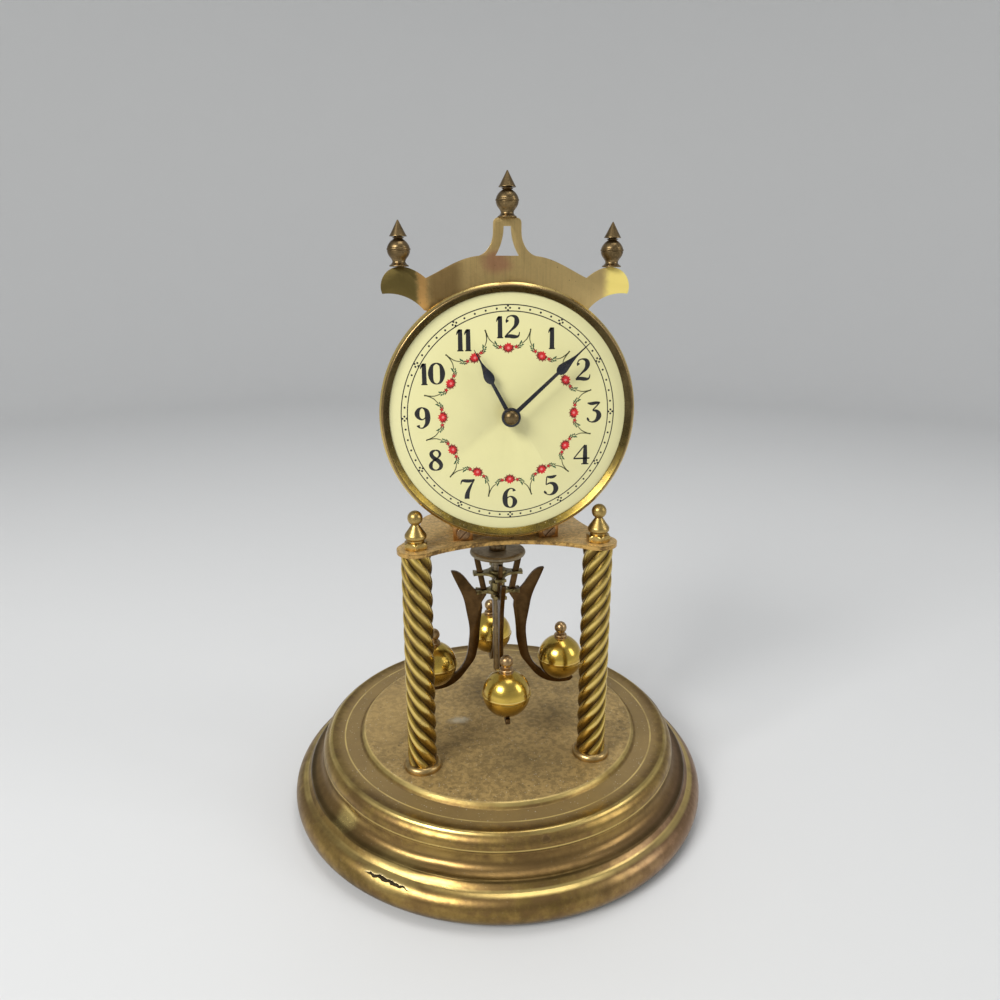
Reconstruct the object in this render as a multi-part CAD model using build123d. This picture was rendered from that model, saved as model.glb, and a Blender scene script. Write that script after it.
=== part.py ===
from build123d import *
import math
import os

# A torsion-pendulum mantel clock in millimetres. Z is up and the dial faces -Y. The origin lies
# under the pendulum's axis, on the surface that the clock stands on.

# Shared clearances
running_clearance = 0.05
seat_clearance = 0.02
shift_gap = 0.3
cut_overrun = 1.0
closing_tolerance = 0.0002

# Base: spun brass shell over a steel plate and a bottom plate
rim_radius = 97.4
rim_tube_radius = 7.0
rim_lift = 0.8
rim_flange_inset = 13.4
shell_thickness = 1.0
deck_height = 34.0
deck_edge_margin = 5.0
crest_bulge = 0.8
ridge_undercut = 0.7
cove_sag = 2.2
ledge_angle = 78
# Corners of the stepped wall: out from the deck's edge to the rim, down from the deck to the rim's top
groove_inner_shares = (0.0579, 0.1198)
groove_outer_shares = (0.2537, 0.1198)
crest_shares = (0.4770, 0.0781)
ridge_shares = (0.5901, 0.4115)
cove_shares = (0.7675, 0.8385)
deck_plate_margin = 4.7
deck_plate_thickness = 1.5
bottom_plate_inset = 3.0
bottom_plate_thickness = 1.2
bottom_plate_height = 7.0
spacer_radius = 3.0
spacer_tenon_radius = 1.8
spacer_inset = 5.0
spacer_angles = (30, 150, 270)
bush_radius = 4.5
bush_tenon_radius = 3.6
bush_height = 5.0

# Levelling screws under the base
levelling_inset = 11.0
levelling_angles = {"front_left": 210, "front_right": 330, "rear": 90}
levelling_stem_radius = 2.5
levelling_stem_length = 13.0
levelling_foot_radius = 7.0
levelling_foot_height = 3.2
levelling_flutes = 24
levelling_flute_radius = 0.6

# Twisted pillars and their tie rods
pillar_spacing = 75.2
pillar_forward = 35.2
pillar_radius = 6.3
pillar_valley_radius = 5.3
pillar_strands = 6
pillar_twist_pitch = 43.0
pillar_length = 96.4
foot_flange_radius = 8.2
foot_flange_height = 3.0
foot_flange_rounding = 1.2
tie_rod_radius = 2.0
sleeve_clearance = 0.3
washer_radius = 5.0
washer_thickness = 1.0
tie_nut_flats = 7.0
tie_nut_height = 3.2
tie_rod_tail = 1.0

# Turned nuts that close the pillars above the platform
cap_hex_flats = 8.9
cap_hex_height = 2.9
cap_neck_radius = 3.6
cap_neck_height = 0.6
cap_cone_radius = 4.45
cap_cone_edge = 0.6
cap_cone_height = 6.0
cap_throat_radius = 1.5
cap_ball_radius = 3.05
cap_bore_depth = 5.0

# Platform that carries the movement over the pendulum
platform_thickness = 1.8
platform_lobe_radius = 7.8
platform_depth = 49.2
pendulum_hole_radius = 8.0
platform_front_shares = ((-0.867, -0.122), (0.0, 0.0935), (0.867, -0.122))
platform_side_shares = ((1.18, 0.079), (0.989, 0.431), (0.915, 0.736))
platform_corner_shares = ((0.838, 0.898), (0.638, 1.0))

# Movement frame: two plates, four pillars and slotted screws
front_plate_forward = 28.5
plate_thickness = 1.5
plate_gap = 18.5
plate_half_width = 30.0
plate_top_rise = 37.4
plate_clear_height = 6.4
plate_corner_width = 8.0
plate_corner_height = 9.0
leg_offset = 18.0
leg_width = 8.0
lower_pillar_width = 7.0
upper_pillar_radius = 3.0
upper_pillar_offset = 25.0
upper_pillar_drop = 5.4
screw_head_radius = 2.8
screw_head_height = 1.4
screw_shank_radius = 1.25
screw_shank_length = 5.5
screw_slot_width = 0.7
screw_slot_depth = 0.7
screw_slot_angle = 45
small_screw_share = 0.72
platform_screw_back = 10.5

# Dial, bezel and hands
dial_forward = 36.0
dial_thickness = 0.8
dial_edge_clearance = 0.2
dial_hole_radius = 2.6
bezel_outer_radius = 49.8
bezel_lip_cover = 2.5
bezel_crest_inset = 1.3
bezel_platform_gap = 3.65
bezel_depth = 5.0
bezel_crest_height = 2.4
bezel_lip_height = 0.4
bezel_wall = 1.0
bezel_bulge = 0.5
dial_post_radius = 1.5
dial_post_tenon_radius = 1.0
dial_post_places_shares = ((-0.453, -0.425), (0.453, -0.425), (-0.453, 0.42))
hand_thickness = 0.5
hour_hand_forward = 3.5
minute_hand_forward = 5.7
hour_hand_length = 28.8
hour_bulb_reach = 17.0
hour_stem_end = 14.4
minute_hand_length = 41.0
minute_bulb_reach = 26.4
minute_stem_end = 24.2
hand_bulb_half_width = 1.95
hand_stem_half_width = 0.62
hand_root_half_width = 0.85
hand_waist_half_width = 0.36
hand_tip_half_width = 0.12
hand_waist_share = 0.52
# The bulb's side: across in shares of its half width, along in shares of the way to the bulb or the waist
hand_shoulder_shares = (0.80, 0.40)
hand_neck_shares = ((0.90, 0.20), (0.58, 0.50), (0.32, 0.80))
hour_boss_radius = 3.2
minute_boss_radius = 3.7
minute_boss_height = 0.5
hour_angle = -28.5
minute_angle = 47.4
hand_nut_radius = 2.8
hand_nut_height = 2.2
hand_nut_point_radius = 0.7
hand_nut_round_shares = (0.8, 0.75)

# Fret above the dial with three turned finials
fret_width_share = 0.9518
fret_over_bezel = 22.75
fret_thickness = 1.5
fret_foot_rise = 25.4
fret_foot_half_width = 20.0
fret_foot_height = 11.5
fret_crown_shares = ((0.080, 1.0), (0.104, 0.990), (0.111, 0.978), (0.112, 0.927))
fret_flare_shares = ((0.131, 0.874), (0.165, 0.840), (0.230, 0.814))
fret_arch_shares = ((0.386, 0.788), (0.538, 0.740), (0.648, 0.704))
fret_lobe_shares = ((0.735, 0.742), (0.852, 0.760), (0.945, 0.737), (0.997, 0.682), (0.990, 0.625))
fret_under_shares = ((0.833, 0.616), (0.667, 0.543))
fret_hole_shares = ((0.030, 0.960), (0.044, 0.890), (0.095, 0.815))
fret_lobe_finial_share = 0.852
fret_screw_offset = 14.0
fret_screw_rise = 30.5
finial_height = 16.4
finial_base_radius = 3.6
finial_base_height = 0.8
finial_neck_radius = 2.0
finial_ball_radius = 4.45
finial_ball_rise = 6.3
finial_quarter_angle = 38
finial_band_radius = 4.7
finial_band_height = 0.9
finial_throat_radius = 1.5
finial_cone_radius = 3.15
finial_cone_edge = 0.4
finial_cone_rise = 11.0
tenon_width = 2.0
tenon_height = 3.0
tenon_clearance = 0.1

# Going train: teeth, modules and places
great_teeth = 96
great_module = 0.42
train_leaves = 8
train_teeth = 80
train_module = 0.3
centre_teeth = 96
centre_module = 0.25
escape_teeth = 20
barrel_offset = 8.5
barrel_drop = 20.9
great_wheel_clearance = 1.0
first_arbor_angle = 165
wheel_thickness = 0.8
pinion_length = 2.0
arbor_radius = 0.7
pivot_radius = 0.5
arbor_end_play = 0.2
wheel_hub_radius = 1.9
wheel_hub_length = 1.6
wheel_rim_width = 1.6
wheel_spoke_width = 1.4
wheel_spokes = 4
tooth_tip_share = 0.85
tooth_root_share = 1.25
wheel_pitch_half_share = 0.20
wheel_tip_half_share = 0.07
pinion_pitch_half_share = 0.165
pinion_tip_half_share = 0.08
pinion_tip_share = 0.6
root_half_share = 0.24

# Mainspring barrel, ratchet and click
drum_radius = 18.0
drum_wall = 0.8
drum_length = 9.7
great_wheel_thickness = 1.2
great_wheel_offset = 0.6
barrel_cap_thickness = 0.8
mainspring_thickness = 0.35
mainspring_pitch = 1.5
mainspring_turns = 9
mainspring_inner_radius = 3.0
winding_arbor_radius = 2.5
winding_pivot_radius = 1.5
winding_square = 3.5
winding_square_length = 13.0
ratchet_teeth = 24
ratchet_radius = 6.3
ratchet_root_radius = 5.2
ratchet_thickness = 1.5
click_pivot_out = 7.8
click_pivot_up = 9.0
click_hub_radius = 2.0
click_screw_radius = 0.9
click_nose_width = 1.8
click_nose_gap = 0.2
click_spring_thickness = 0.35
click_spring_width = 1.2
click_spring_foot = 3.2
click_spring_length = 12.0

# Places of the wheels along the arbors, behind the front plate
centre_wheel_back = 12.4
first_wheel_back = 14.2
second_wheel_back = 16.4
escape_pinion_back = 11.8
escape_wheel_back = 8.5
escape_wheel_radius = 9.0
escape_tooth_depth = 2.2
escape_tooth_base = 1.2
escape_tooth_tip = 0.15
pallet_half_span = 40.5
pallet_thickness = 1.2
pallet_width = 0.6
pallet_clearance = 0.05
pallet_lead_gap = 0.06
anchor_arm_width = 1.6
anchor_collar_radius = 1.8
anchor_pin_radius = 0.4
anchor_hole_radius = 2.4

# Motion work under the dial
cannon_teeth = 12
minute_teeth = 36
motion_module = 0.4
minute_leaves = 10
hour_teeth = 40
motion_depth = 3.0
minute_wheel_thickness = 0.8
minute_wheel_forward = 0.9
hour_wheel_forward = 3.6
cannon_pipe_radius = 1.5
hour_pipe_radius = 2.2
centre_arbor_radius = 1.0
minute_post_radius = 0.8
minute_wheel_angle = 215

# Suspension behind the back plate
strip_width = 0.8
strip_thickness = 0.1
top_block_rise = 40.55
top_block_width = 6.0
top_block_depth = 3.4
top_block_height = 6.0
bracket_thickness = 1.4
bracket_half_width = 9.5
bracket_leg_width = 4.0
bracket_leg_height = 8.6
bracket_bar_height = 3.2
bracket_arm_half_width = 5.0
bracket_arm_reach = 5.0
bracket_arm_thickness = 2.0
strip_hole_radius = 0.55
fork_drop = 6.0
fork_hub_radius = 1.6
fork_height = 1.6
fork_reach = 6.2
fork_tine_width = 0.6
fork_slot = 1.1
anchor_pin_back = 1.5
cock_half_width = 10.0
cock_height = 6.0
cock_lift = 2.6
cock_thickness = 1.2
cock_foot_width = 3.0

# Torsion pendulum
pendulum_hang = 14.0
disc_radius = 12.8
disc_thickness = 2.7
disc_sleeve_radius = 2.6
disc_sleeve_length = 12.1
pendulum_rod_radius = 1.2
hook_base_radius = 3.9
hook_base_height = 2.4
hook_cheek_height = 5.8
hook_cheek_thickness = 1.2
hook_cheek_depth = 3.2
bottom_block_width = 3.2
bottom_block_height = 6.6
bottom_block_rise = 2.8
hook_pin_radius = 0.8
hook_pin_rise = 4.2
star_nut_drop = 10.1
star_nut_thickness = 1.2
star_nut_radius = 11.6
star_nut_lobe_half_width = 2.6
star_nut_waist_radius = 5.6
star_nut_hub_radius = 4.2
star_nut_hub_height = 3.0
star_drop = 19.0
star_thickness = 1.6
star_radius = 10.4
star_lobe_half_width = 3.0
star_waist_radius = 4.6
star_hub_radius = 3.3
star_hub_above = 4.4
star_hub_below = 3.4
spindle_radius = 2.1
spindle_length = 38.6
arm_thickness = 1.8
arm_slot_clearance = 0.25
arm_pivot_radius_out = 7.2
arm_pin_radius = 0.65
arm_reach = 23.15
arm_drop = 36.1
arm_under_ball = 3.2
arm_tip_reach = 6.4
arm_shelf_share = 0.62
arm_toe_shares = (0.78, 0.9)
arm_tip_drop_share = 0.45
arm_tip_round_share = 0.12
arm_wrap_start_angle = 212
arm_wrap_middle_angle = 230
ball_radius = 10.6
ball_flat = 0.5
ball_seam_width = 0.5
ball_seam_depth = 0.25
ball_wrap_gap = 0.35
lever_width = 2.65
lever_height = 15.8
lever_root_out = 6.7
lever_top_out = 9.58
lever_root_rise = 1.3
stud_radius = 0.9
stud_tail = 2.0
stud_end_gap = 0.03
ball_collar_radius = 3.05
ball_collar_height = 1.9
ball_neck_radius = 1.6
ball_neck_height = 0.7
ball_cap_radius = 2.9
arm_count = 4
arm_names = ("right", "rear", "left", "front")
# The blade's outline beside its pivot: across in shares of arm_reach, up in shares of arm_drop
blade_root_shares = ((0.130, 0.014), (0.216, 0.075), (0.346, 0.194))
blade_tip_shares = ((0.500, 0.279), (0.625, 0.291))
blade_outer_shares = ((0.487, 0.080), (0.380, -0.097), (0.328, -0.274), (0.276, -0.468),
                      (0.268, -0.593), (0.289, -0.731), (0.324, -0.881), (0.419, -1.036), (0.592, -1.158))
blade_inner_shares = ((0.985, -1.371), (0.657, -1.313), (0.458, -1.208), (0.289, -1.064), (0.164, -0.939),
                      (0.117, -0.820), (0.078, -0.690), (0.069, -0.590), (0.048, -0.432), (0.004, -0.227))
blade_heel_shares = ((0.017, -0.150), (-0.078, -0.050), (-0.082, 0.036))

# Heights and places that follow from the sizes above
pillar_ring_radius = math.hypot(pillar_spacing / 2, pillar_forward)
deck_radius = pillar_ring_radius + foot_flange_radius + deck_edge_margin
deck_plate_radius = deck_radius - deck_plate_margin
rim_flange_radius = rim_radius - rim_flange_inset
bottom_plate_radius = rim_flange_radius - bottom_plate_inset
levelling_ring_radius = bottom_plate_radius - levelling_inset
spacer_ring_radius = deck_plate_radius - spacer_inset
dial_radius = bezel_outer_radius - bezel_wall - dial_edge_clearance
bezel_inner_radius = dial_radius - bezel_lip_cover
bezel_crest_radius = bezel_outer_radius - bezel_crest_inset
fret_half_width = fret_width_share * bezel_outer_radius
fret_rise = bezel_outer_radius + fret_over_bezel
great_wheel_tip_radius = great_module * (great_teeth / 2 + tooth_tip_share)
# The dial's centre stands clear of the platform with its bezel, and of the lower pillars with its great wheel
dial_rise = max(bezel_outer_radius + bezel_platform_gap,
                plate_clear_height + great_wheel_clearance + great_wheel_tip_radius + barrel_drop)
shell_underside = deck_height - shell_thickness
deck_plate_underside = shell_underside - deck_plate_thickness
pillar_x = pillar_spacing / 2
pillar_y = -pillar_forward
pillar_base = deck_height + foot_flange_height
platform_underside = pillar_base + pillar_length
platform_top = platform_underside + platform_thickness
dial_z = platform_top + dial_rise
dial_y = -dial_forward
dial_back_y = dial_y + dial_thickness
front_plate_y = -front_plate_forward
gap_front_y = front_plate_y + plate_thickness
gap_back_y = gap_front_y + plate_gap
back_plate_y = gap_back_y + plate_thickness
plate_bottom = platform_top + plate_clear_height
plate_top = dial_z + plate_top_rise
pillar_screw_z = platform_top + plate_clear_height / 2
upper_pillar_z = plate_top - upper_pillar_drop
disc_z = platform_underside - pendulum_hang
disc_top = disc_z + disc_thickness / 2
disc_bottom = disc_z - disc_thickness / 2
hook_base = disc_top + running_clearance
hook_top = hook_base + hook_base_height
bottom_block_z = hook_top + bottom_block_rise
hook_pin_z = hook_top + hook_pin_rise
strip_bottom = hook_pin_z + hook_pin_radius + shift_gap
top_block_z = dial_z + top_block_rise
bracket_top = top_block_z
fork_z = top_block_z - fork_drop
star_nut_z = disc_z - star_nut_drop
star_z = disc_z - star_drop
ball_z = star_z - arm_drop
ball_out = arm_pivot_radius_out + arm_reach


def disc(radius, height, base=0.0, x=0.0, y=0.0):
    """A round plate or rod that stands on base."""
    return Pos(x, y, base) * Cylinder(radius, height, align=(Align.CENTER, Align.CENTER, Align.MIN))


def rod(radius, front, back, x=0.0, z=0.0):
    """A round bar along Y."""
    bar = Cylinder(radius, back - front, align=(Align.CENTER, Align.CENTER, Align.MIN))
    return Pos(x, back, z) * Rot(90, 0, 0) * bar


def block(width, depth, height, base=0.0, x=0.0, y=0.0):
    """A box that stands on base, centred on x and y."""
    return Pos(x, y, base) * Box(width, depth, height, align=(Align.CENTER, Align.CENTER, Align.MIN))


def outline(start, *steps):
    """A closed face. A step is a corner, a pair (point on an arc, end of the arc) or a list for a curve."""
    edges = []
    here = start
    for step in steps:
        if isinstance(step, list):
            edges.append(Edge.make_spline([here] + step))
            here = step[-1]
        elif isinstance(step[0], tuple):
            edges.append(Edge.make_three_point_arc(here, step[0], step[1]))
            here = step[1]
        else:
            edges.append(Edge.make_line(here, step))
            here = step
    if math.dist(here, start) > closing_tolerance:
        edges.append(Edge.make_line(here, start))
    face = Face(Wire(edges))
    return face if face.normal_at().Z > 0 else -face


def upright(profile, front, back):
    """A flat face drawn in (x, z), raised into a plate between two Y places."""
    return Pos(0, back, 0) * Rot(90, 0, 0) * extrude(profile, amount=back - front)


def turned(profile):
    """A face drawn in (radius, z), turned round the Z axis."""
    return revolve(Rot(90, 0, 0) * profile, Axis.Z, 360)


def polar(radius, degrees, x=0.0, z=0.0):
    """The point at an angle round (x, z)."""
    turn = math.radians(degrees)
    return (x + radius * math.cos(turn), z + radius * math.sin(turn))


def mirrored(points):
    """The same points on the other side of the middle, in reverse order."""
    return [(-x, z) for x, z in reversed(points)]


def scaled(shares, width, height, x=0.0, z=0.0):
    """Points written as shares, in real sizes from a corner."""
    return [(x + across * width, z + up * height) for across, up in shares]


def screw(length, size=1.0):
    """A slotted screw whose head stands on the XY plane, shank down."""
    head = disc(screw_head_radius * size, screw_head_height * size)
    shank = disc(screw_shank_radius * size, length, base=-length)
    slot = block(3 * screw_head_radius * size, screw_slot_width, 2 * screw_slot_depth * size,
                 base=(screw_head_height - screw_slot_depth) * size)
    return head + shank - Rot(0, 0, screw_slot_angle) * slot


def front_screw(x, y, z, length, size=1.0):
    """A screw seen from the front, head towards -Y."""
    return Pos(x, y, z) * Rot(90, 0, 0) * screw(length, size)


def rear_screw(x, y, z, length, size=1.0):
    """A screw seen from the back, head towards +Y."""
    return Pos(x, y, z) * Rot(-90, 0, 0) * screw(length, size)


def hexagon(flats):
    return RegularPolygon(flats / math.sqrt(3), 6)


# Base

def rim_point(radius, degrees):
    """A point on the rim's round section, seen from its centre."""
    return polar(radius, degrees, rim_radius - rim_tube_radius, rim_lift + rim_tube_radius)


def arc_middle(start, end, bulge):
    """The middle of an arc that bulges to the left of the way from start to end."""
    across, up = end[0] - start[0], end[1] - start[1]
    span = math.hypot(across, up)
    return ((start[0] + end[0]) / 2 - up / span * bulge, (start[1] + end[1]) / 2 + across / span * bulge)


def base_section(inset):
    """The stepped profile from the deck's middle to the rim's foot, moved in by inset."""
    def corner(shares, inward, down):
        across, fall = shares
        drop = deck_height - rim_lift - 2 * rim_tube_radius
        return (deck_radius + across * (rim_radius - deck_radius) - inward, deck_height - fall * drop - down)

    tube = rim_tube_radius - inset
    crest = corner(crest_shares, inset / 2, inset)
    ridge = corner(ridge_shares, inset, 0)
    under = (ridge[0] - ridge_undercut, ridge[1] - ridge_undercut)
    cove = corner(cove_shares, inset, inset / 2)
    return [
        (0, deck_height - inset),
        (deck_radius - inset / 2, deck_height - inset),
        corner(groove_inner_shares, inset / 2, inset),
        corner(groove_outer_shares, 0, inset),
        crest,
        (arc_middle(crest, ridge, crest_bulge), ridge),
        under,
        (arc_middle(under, cove, -cove_sag), cove),
        rim_point(tube, ledge_angle),
        (rim_point(tube, 0), rim_point(tube, -90)),
        (rim_flange_radius, rim_point(tube, -90)[1]),
    ]


def reversed_steps(start, steps):
    """The same steps walked the other way."""
    here = start
    back = []
    for step in steps:
        if isinstance(step[0], tuple):
            back.append((step[0], here))
            here = step[1]
        else:
            back.append(here)
            here = step
    return here, back[::-1]


def base_shell():
    outer = base_section(0)
    inner = base_section(shell_thickness)
    last, back = reversed_steps(inner[0], inner[1:])
    shell = turned(outline(outer[0], *outer[1:], last, *back))
    for side in (-1, 1):
        shell -= disc(tie_rod_radius + sleeve_clearance, 2 * deck_height, x=side * pillar_x, y=pillar_y)
    return shell


def spacer_places():
    return [polar(spacer_ring_radius, angle) for angle in spacer_angles]


def deck_plate():
    plate = disc(deck_plate_radius, deck_plate_thickness, base=deck_plate_underside)
    for side in (-1, 1):
        plate -= disc(tie_rod_radius + sleeve_clearance, 2 * deck_height, x=side * pillar_x, y=pillar_y)
    for x, y in spacer_places():
        plate -= disc(spacer_tenon_radius + seat_clearance, 2 * deck_height, x=x, y=y)
    return plate


def bottom_plate():
    """The bottom plate and the three threaded bushes riveted into it for the levelling screws."""
    plate = disc(bottom_plate_radius, bottom_plate_thickness, base=bottom_plate_height)
    bushes = []
    for angle in levelling_angles.values():
        x, y = polar(levelling_ring_radius, angle)
        plate -= disc(bush_tenon_radius + seat_clearance, deck_height, x=x, y=y)
        bush = disc(bush_radius, bush_height, base=bottom_plate_height + bottom_plate_thickness, x=x, y=y)
        bush += disc(bush_tenon_radius, bottom_plate_thickness, base=bottom_plate_height, x=x, y=y)
        bushes.append(bush - disc(levelling_stem_radius + running_clearance, deck_height, x=x, y=y))
    for x, y in spacer_places():
        plate -= disc(screw_shank_radius + seat_clearance, deck_height, x=x, y=y)
    return [plate] + bushes


def bottom_spacers():
    base = bottom_plate_height + bottom_plate_thickness
    spacers = []
    for x, y in spacer_places():
        spacer = disc(spacer_radius, deck_plate_underside - base, base=base, x=x, y=y)
        spacer += disc(spacer_tenon_radius, shell_underside - base, base=base, x=x, y=y)
        spacer -= disc(screw_shank_radius + seat_clearance, screw_shank_length, base=base, x=x, y=y)
        spacers.append(spacer)
    return spacers


def base_screws():
    length = screw_shank_length - shift_gap + bottom_plate_thickness
    return [Pos(x, y, bottom_plate_height) * Rot(180, 0, 0) * screw(length) for x, y in spacer_places()]


def levelling_screw(angle):
    foot = disc(levelling_foot_radius, levelling_foot_height)
    for k in range(levelling_flutes):
        x, y = polar(levelling_foot_radius + levelling_flute_radius / 3, 360 * k / levelling_flutes)
        foot -= disc(levelling_flute_radius, 3 * levelling_foot_height, base=-levelling_foot_height, x=x, y=y)
    foot += disc(levelling_stem_radius, levelling_foot_height + levelling_stem_length)
    x, y = polar(levelling_ring_radius, angle)
    return Pos(x, y, 0) * foot


# Pillars

def twisted_pillar(hand):
    """A rope-twisted sleeve. hand is +1 where its ridges rise to the right, -1 to the left."""
    step = 360 / pillar_strands
    edges = []
    for k in range(pillar_strands):
        valley = polar(pillar_valley_radius, k * step)
        crest = polar(pillar_radius, (k + 0.5) * step)
        edges.append(Edge.make_three_point_arc(valley, crest, polar(pillar_valley_radius, (k + 1) * step)))
    section = Face(Wire(edges))
    turn = hand * 360 * pillar_length / pillar_twist_pitch
    sleeve = Solid.extrude_linear_with_rotation(section, (0, 0, 0), (0, 0, pillar_length), turn)
    bore = disc(tie_rod_radius + sleeve_clearance, 3 * pillar_length, base=-pillar_length)
    sleeve = Part(sleeve.wrapped) - bore
    return Pos(hand * pillar_x, pillar_y, pillar_base) * sleeve


def foot_flange(side):
    top = foot_flange_height
    edge = foot_flange_radius
    bevel = (edge - foot_flange_rounding, top)
    fall = foot_flange_rounding * (1 - math.sqrt(0.5))
    corner = (edge - fall, top - fall)
    bore = tie_rod_radius + sleeve_clearance
    section = outline((bore, 0), (edge, 0), (edge, top - foot_flange_rounding), (corner, bevel), (bore, top))
    return Pos(side * pillar_x, pillar_y, deck_height) * turned(section)


def tie_rod(side):
    bottom = deck_plate_underside - washer_thickness - tie_nut_height - tie_rod_tail
    top = platform_top + cap_bore_depth - shift_gap
    return disc(tie_rod_radius, top - bottom, base=bottom, x=side * pillar_x, y=pillar_y)


def tie_nut(side):
    bottom = deck_plate_underside - washer_thickness - tie_nut_height
    nut = Pos(side * pillar_x, pillar_y, bottom) * extrude(hexagon(tie_nut_flats), amount=tie_nut_height)
    return nut - disc(tie_rod_radius + seat_clearance, deck_height, x=side * pillar_x, y=pillar_y)


def tie_washer(side):
    bottom = deck_plate_underside - washer_thickness
    washer = disc(washer_radius, washer_thickness, base=bottom, x=side * pillar_x, y=pillar_y)
    return washer - disc(tie_rod_radius + seat_clearance, deck_height, x=side * pillar_x, y=pillar_y)


def pillar_cap(side):
    """The hexagonal nut with its cone and ball."""
    hexes = extrude(hexagon(cap_hex_flats), amount=cap_hex_height)
    neck_top = cap_hex_height + cap_neck_height
    cone_base = neck_top + cap_cone_edge
    cone_top = cone_base + cap_cone_height
    ball_rise = cone_top + math.sqrt(cap_ball_radius ** 2 - cap_throat_radius ** 2)
    section = outline(
        (0, 0),
        (cap_neck_radius, 0),
        (cap_neck_radius, neck_top),
        (cap_cone_radius, neck_top),
        (cap_cone_radius, cone_base),
        (cap_throat_radius, cone_top),
        ((cap_ball_radius, ball_rise), (0, ball_rise + cap_ball_radius)),
    )
    cap = hexes + turned(section) - disc(tie_rod_radius + seat_clearance, cap_bore_depth)
    return Pos(side * pillar_x, pillar_y, platform_top) * cap


# Platform

def platform():
    def points(shares):
        return scaled(shares, pillar_x, platform_depth, z=pillar_y)

    front = points(platform_front_shares)
    side = points(platform_side_shares)
    corner = points(platform_corner_shares)
    left_side = mirrored(side)
    left_corner = mirrored(corner)
    body = outline(
        front[0],
        (front[1], front[2]),
        side[0],
        (side[1], side[2]),
        (corner[0], corner[1]),
        left_corner[0],
        (left_corner[1], left_side[0]),
        (left_side[1], left_side[2]),
    )
    plate = Pos(0, 0, platform_underside) * extrude(body, amount=platform_thickness)
    for hand in (-1, 1):
        plate += disc(platform_lobe_radius, platform_thickness, base=platform_underside,
                      x=hand * pillar_x, y=pillar_y)
    for hand in (-1, 1):
        plate -= disc(tie_rod_radius + sleeve_clearance, 2 * platform_top, x=hand * pillar_x, y=pillar_y)
        plate -= disc(screw_shank_radius + seat_clearance, 2 * platform_top, x=hand * leg_offset,
                      y=gap_front_y + platform_screw_back)
    return plate - disc(pendulum_hole_radius, 2 * platform_top)


# Gear places, in (x, z)

def place(point):
    """A place beside the dial's centre, as real x and z."""
    return (point[0], dial_z + point[1])


def pitch_radius(teeth, module):
    return teeth * module / 2


def mesh_distance(first, second, module):
    return pitch_radius(first + second, module)


def second_arbor(first, centre):
    """The arbor that stands one mesh away from two others, on the left of the way between them."""
    reach = mesh_distance(train_teeth, train_leaves, train_module)
    across, up = centre[0] - first[0], centre[1] - first[1]
    span = math.hypot(across, up)
    side = math.sqrt(reach ** 2 - (span / 2) ** 2)
    return ((first[0] + centre[0]) / 2 - up / span * side, (first[1] + centre[1]) / 2 + across / span * side)


centre_at = place((0, 0))
barrel_at = place((barrel_offset, -barrel_drop))
first_at = polar(mesh_distance(great_teeth, train_leaves, great_module), first_arbor_angle, *barrel_at)
second_at = second_arbor(first_at, centre_at)
escape_at = place((0, mesh_distance(centre_teeth, train_leaves, centre_module)))
anchor_at = (0, escape_at[1] + escape_wheel_radius / math.cos(math.radians(pallet_half_span)))
minute_at = polar(mesh_distance(cannon_teeth, minute_teeth, motion_module), minute_wheel_angle, *centre_at)
hour_module = 2 * mesh_distance(cannon_teeth, minute_teeth, motion_module) / (minute_leaves + hour_teeth)


def bearing(here, there):
    """The angle of the way from one arbor to another."""
    return math.degrees(math.atan2(there[1] - here[1], there[0] - here[0]))


def gear(teeth, module, tooth_angle, is_pinion=False):
    """A toothed face whose first tooth points at tooth_angle."""
    pitch = pitch_radius(teeth, module)
    tip = pitch + module * (pinion_tip_share if is_pinion else tooth_tip_share)
    root = pitch - module * tooth_root_share
    pitch_half = pinion_pitch_half_share if is_pinion else wheel_pitch_half_share
    tip_half = pinion_tip_half_share if is_pinion else wheel_tip_half_share
    root_half = pitch_half if is_pinion else root_half_share
    step = 360 / teeth
    corners = []
    for k in range(teeth):
        middle = tooth_angle + k * step
        for radius, share in ((root, -root_half), (pitch, -pitch_half), (tip, -tip_half),
                              (tip, tip_half), (pitch, pitch_half), (root, root_half)):
            corners.append(polar(radius, middle + share * step))
    return outline(corners[0], *corners[1:])


def crossings(outer, inner):
    """The windows between a wheel's spokes."""
    ring = Circle(outer) - Circle(inner)
    for k in range(wheel_spokes):
        ring -= Rot(0, 0, 180 * k / wheel_spokes + 45) * Rectangle(3 * outer, wheel_spoke_width)
    return ring


def wheel(teeth, module, tooth_angle, at, front, thickness=wheel_thickness):
    """A crossed-out toothed wheel with its brass hub behind it."""
    rim = pitch_radius(teeth, module) - module * tooth_root_share - wheel_rim_width
    face = gear(teeth, module, tooth_angle) - crossings(rim, wheel_hub_radius + wheel_spoke_width / 2)
    blank = upright(face, front, front + thickness)
    hub = rod(wheel_hub_radius, front, front + wheel_hub_length)
    return Pos(at[0], 0, at[1]) * (blank + hub - rod(arbor_radius + seat_clearance, front - cut_overrun,
                                                     front + wheel_hub_length + cut_overrun))


def pinion(teeth, module, tooth_angle, at, front, back):
    return Pos(at[0], 0, at[1]) * upright(gear(teeth, module, tooth_angle, True), front, back)


def arbor(at, radius=arbor_radius):
    """A plain arbor with a pivot in each plate."""
    body = rod(radius, gap_front_y + arbor_end_play, gap_back_y - arbor_end_play, *at)
    return body + rod(pivot_radius, front_plate_y, back_plate_y, *at)


def gap_angle(teeth, toward):
    """The angle of a first tooth that leaves a gap in the middle of the way toward a partner."""
    return toward + 180 / teeth


# Movement frame

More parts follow.
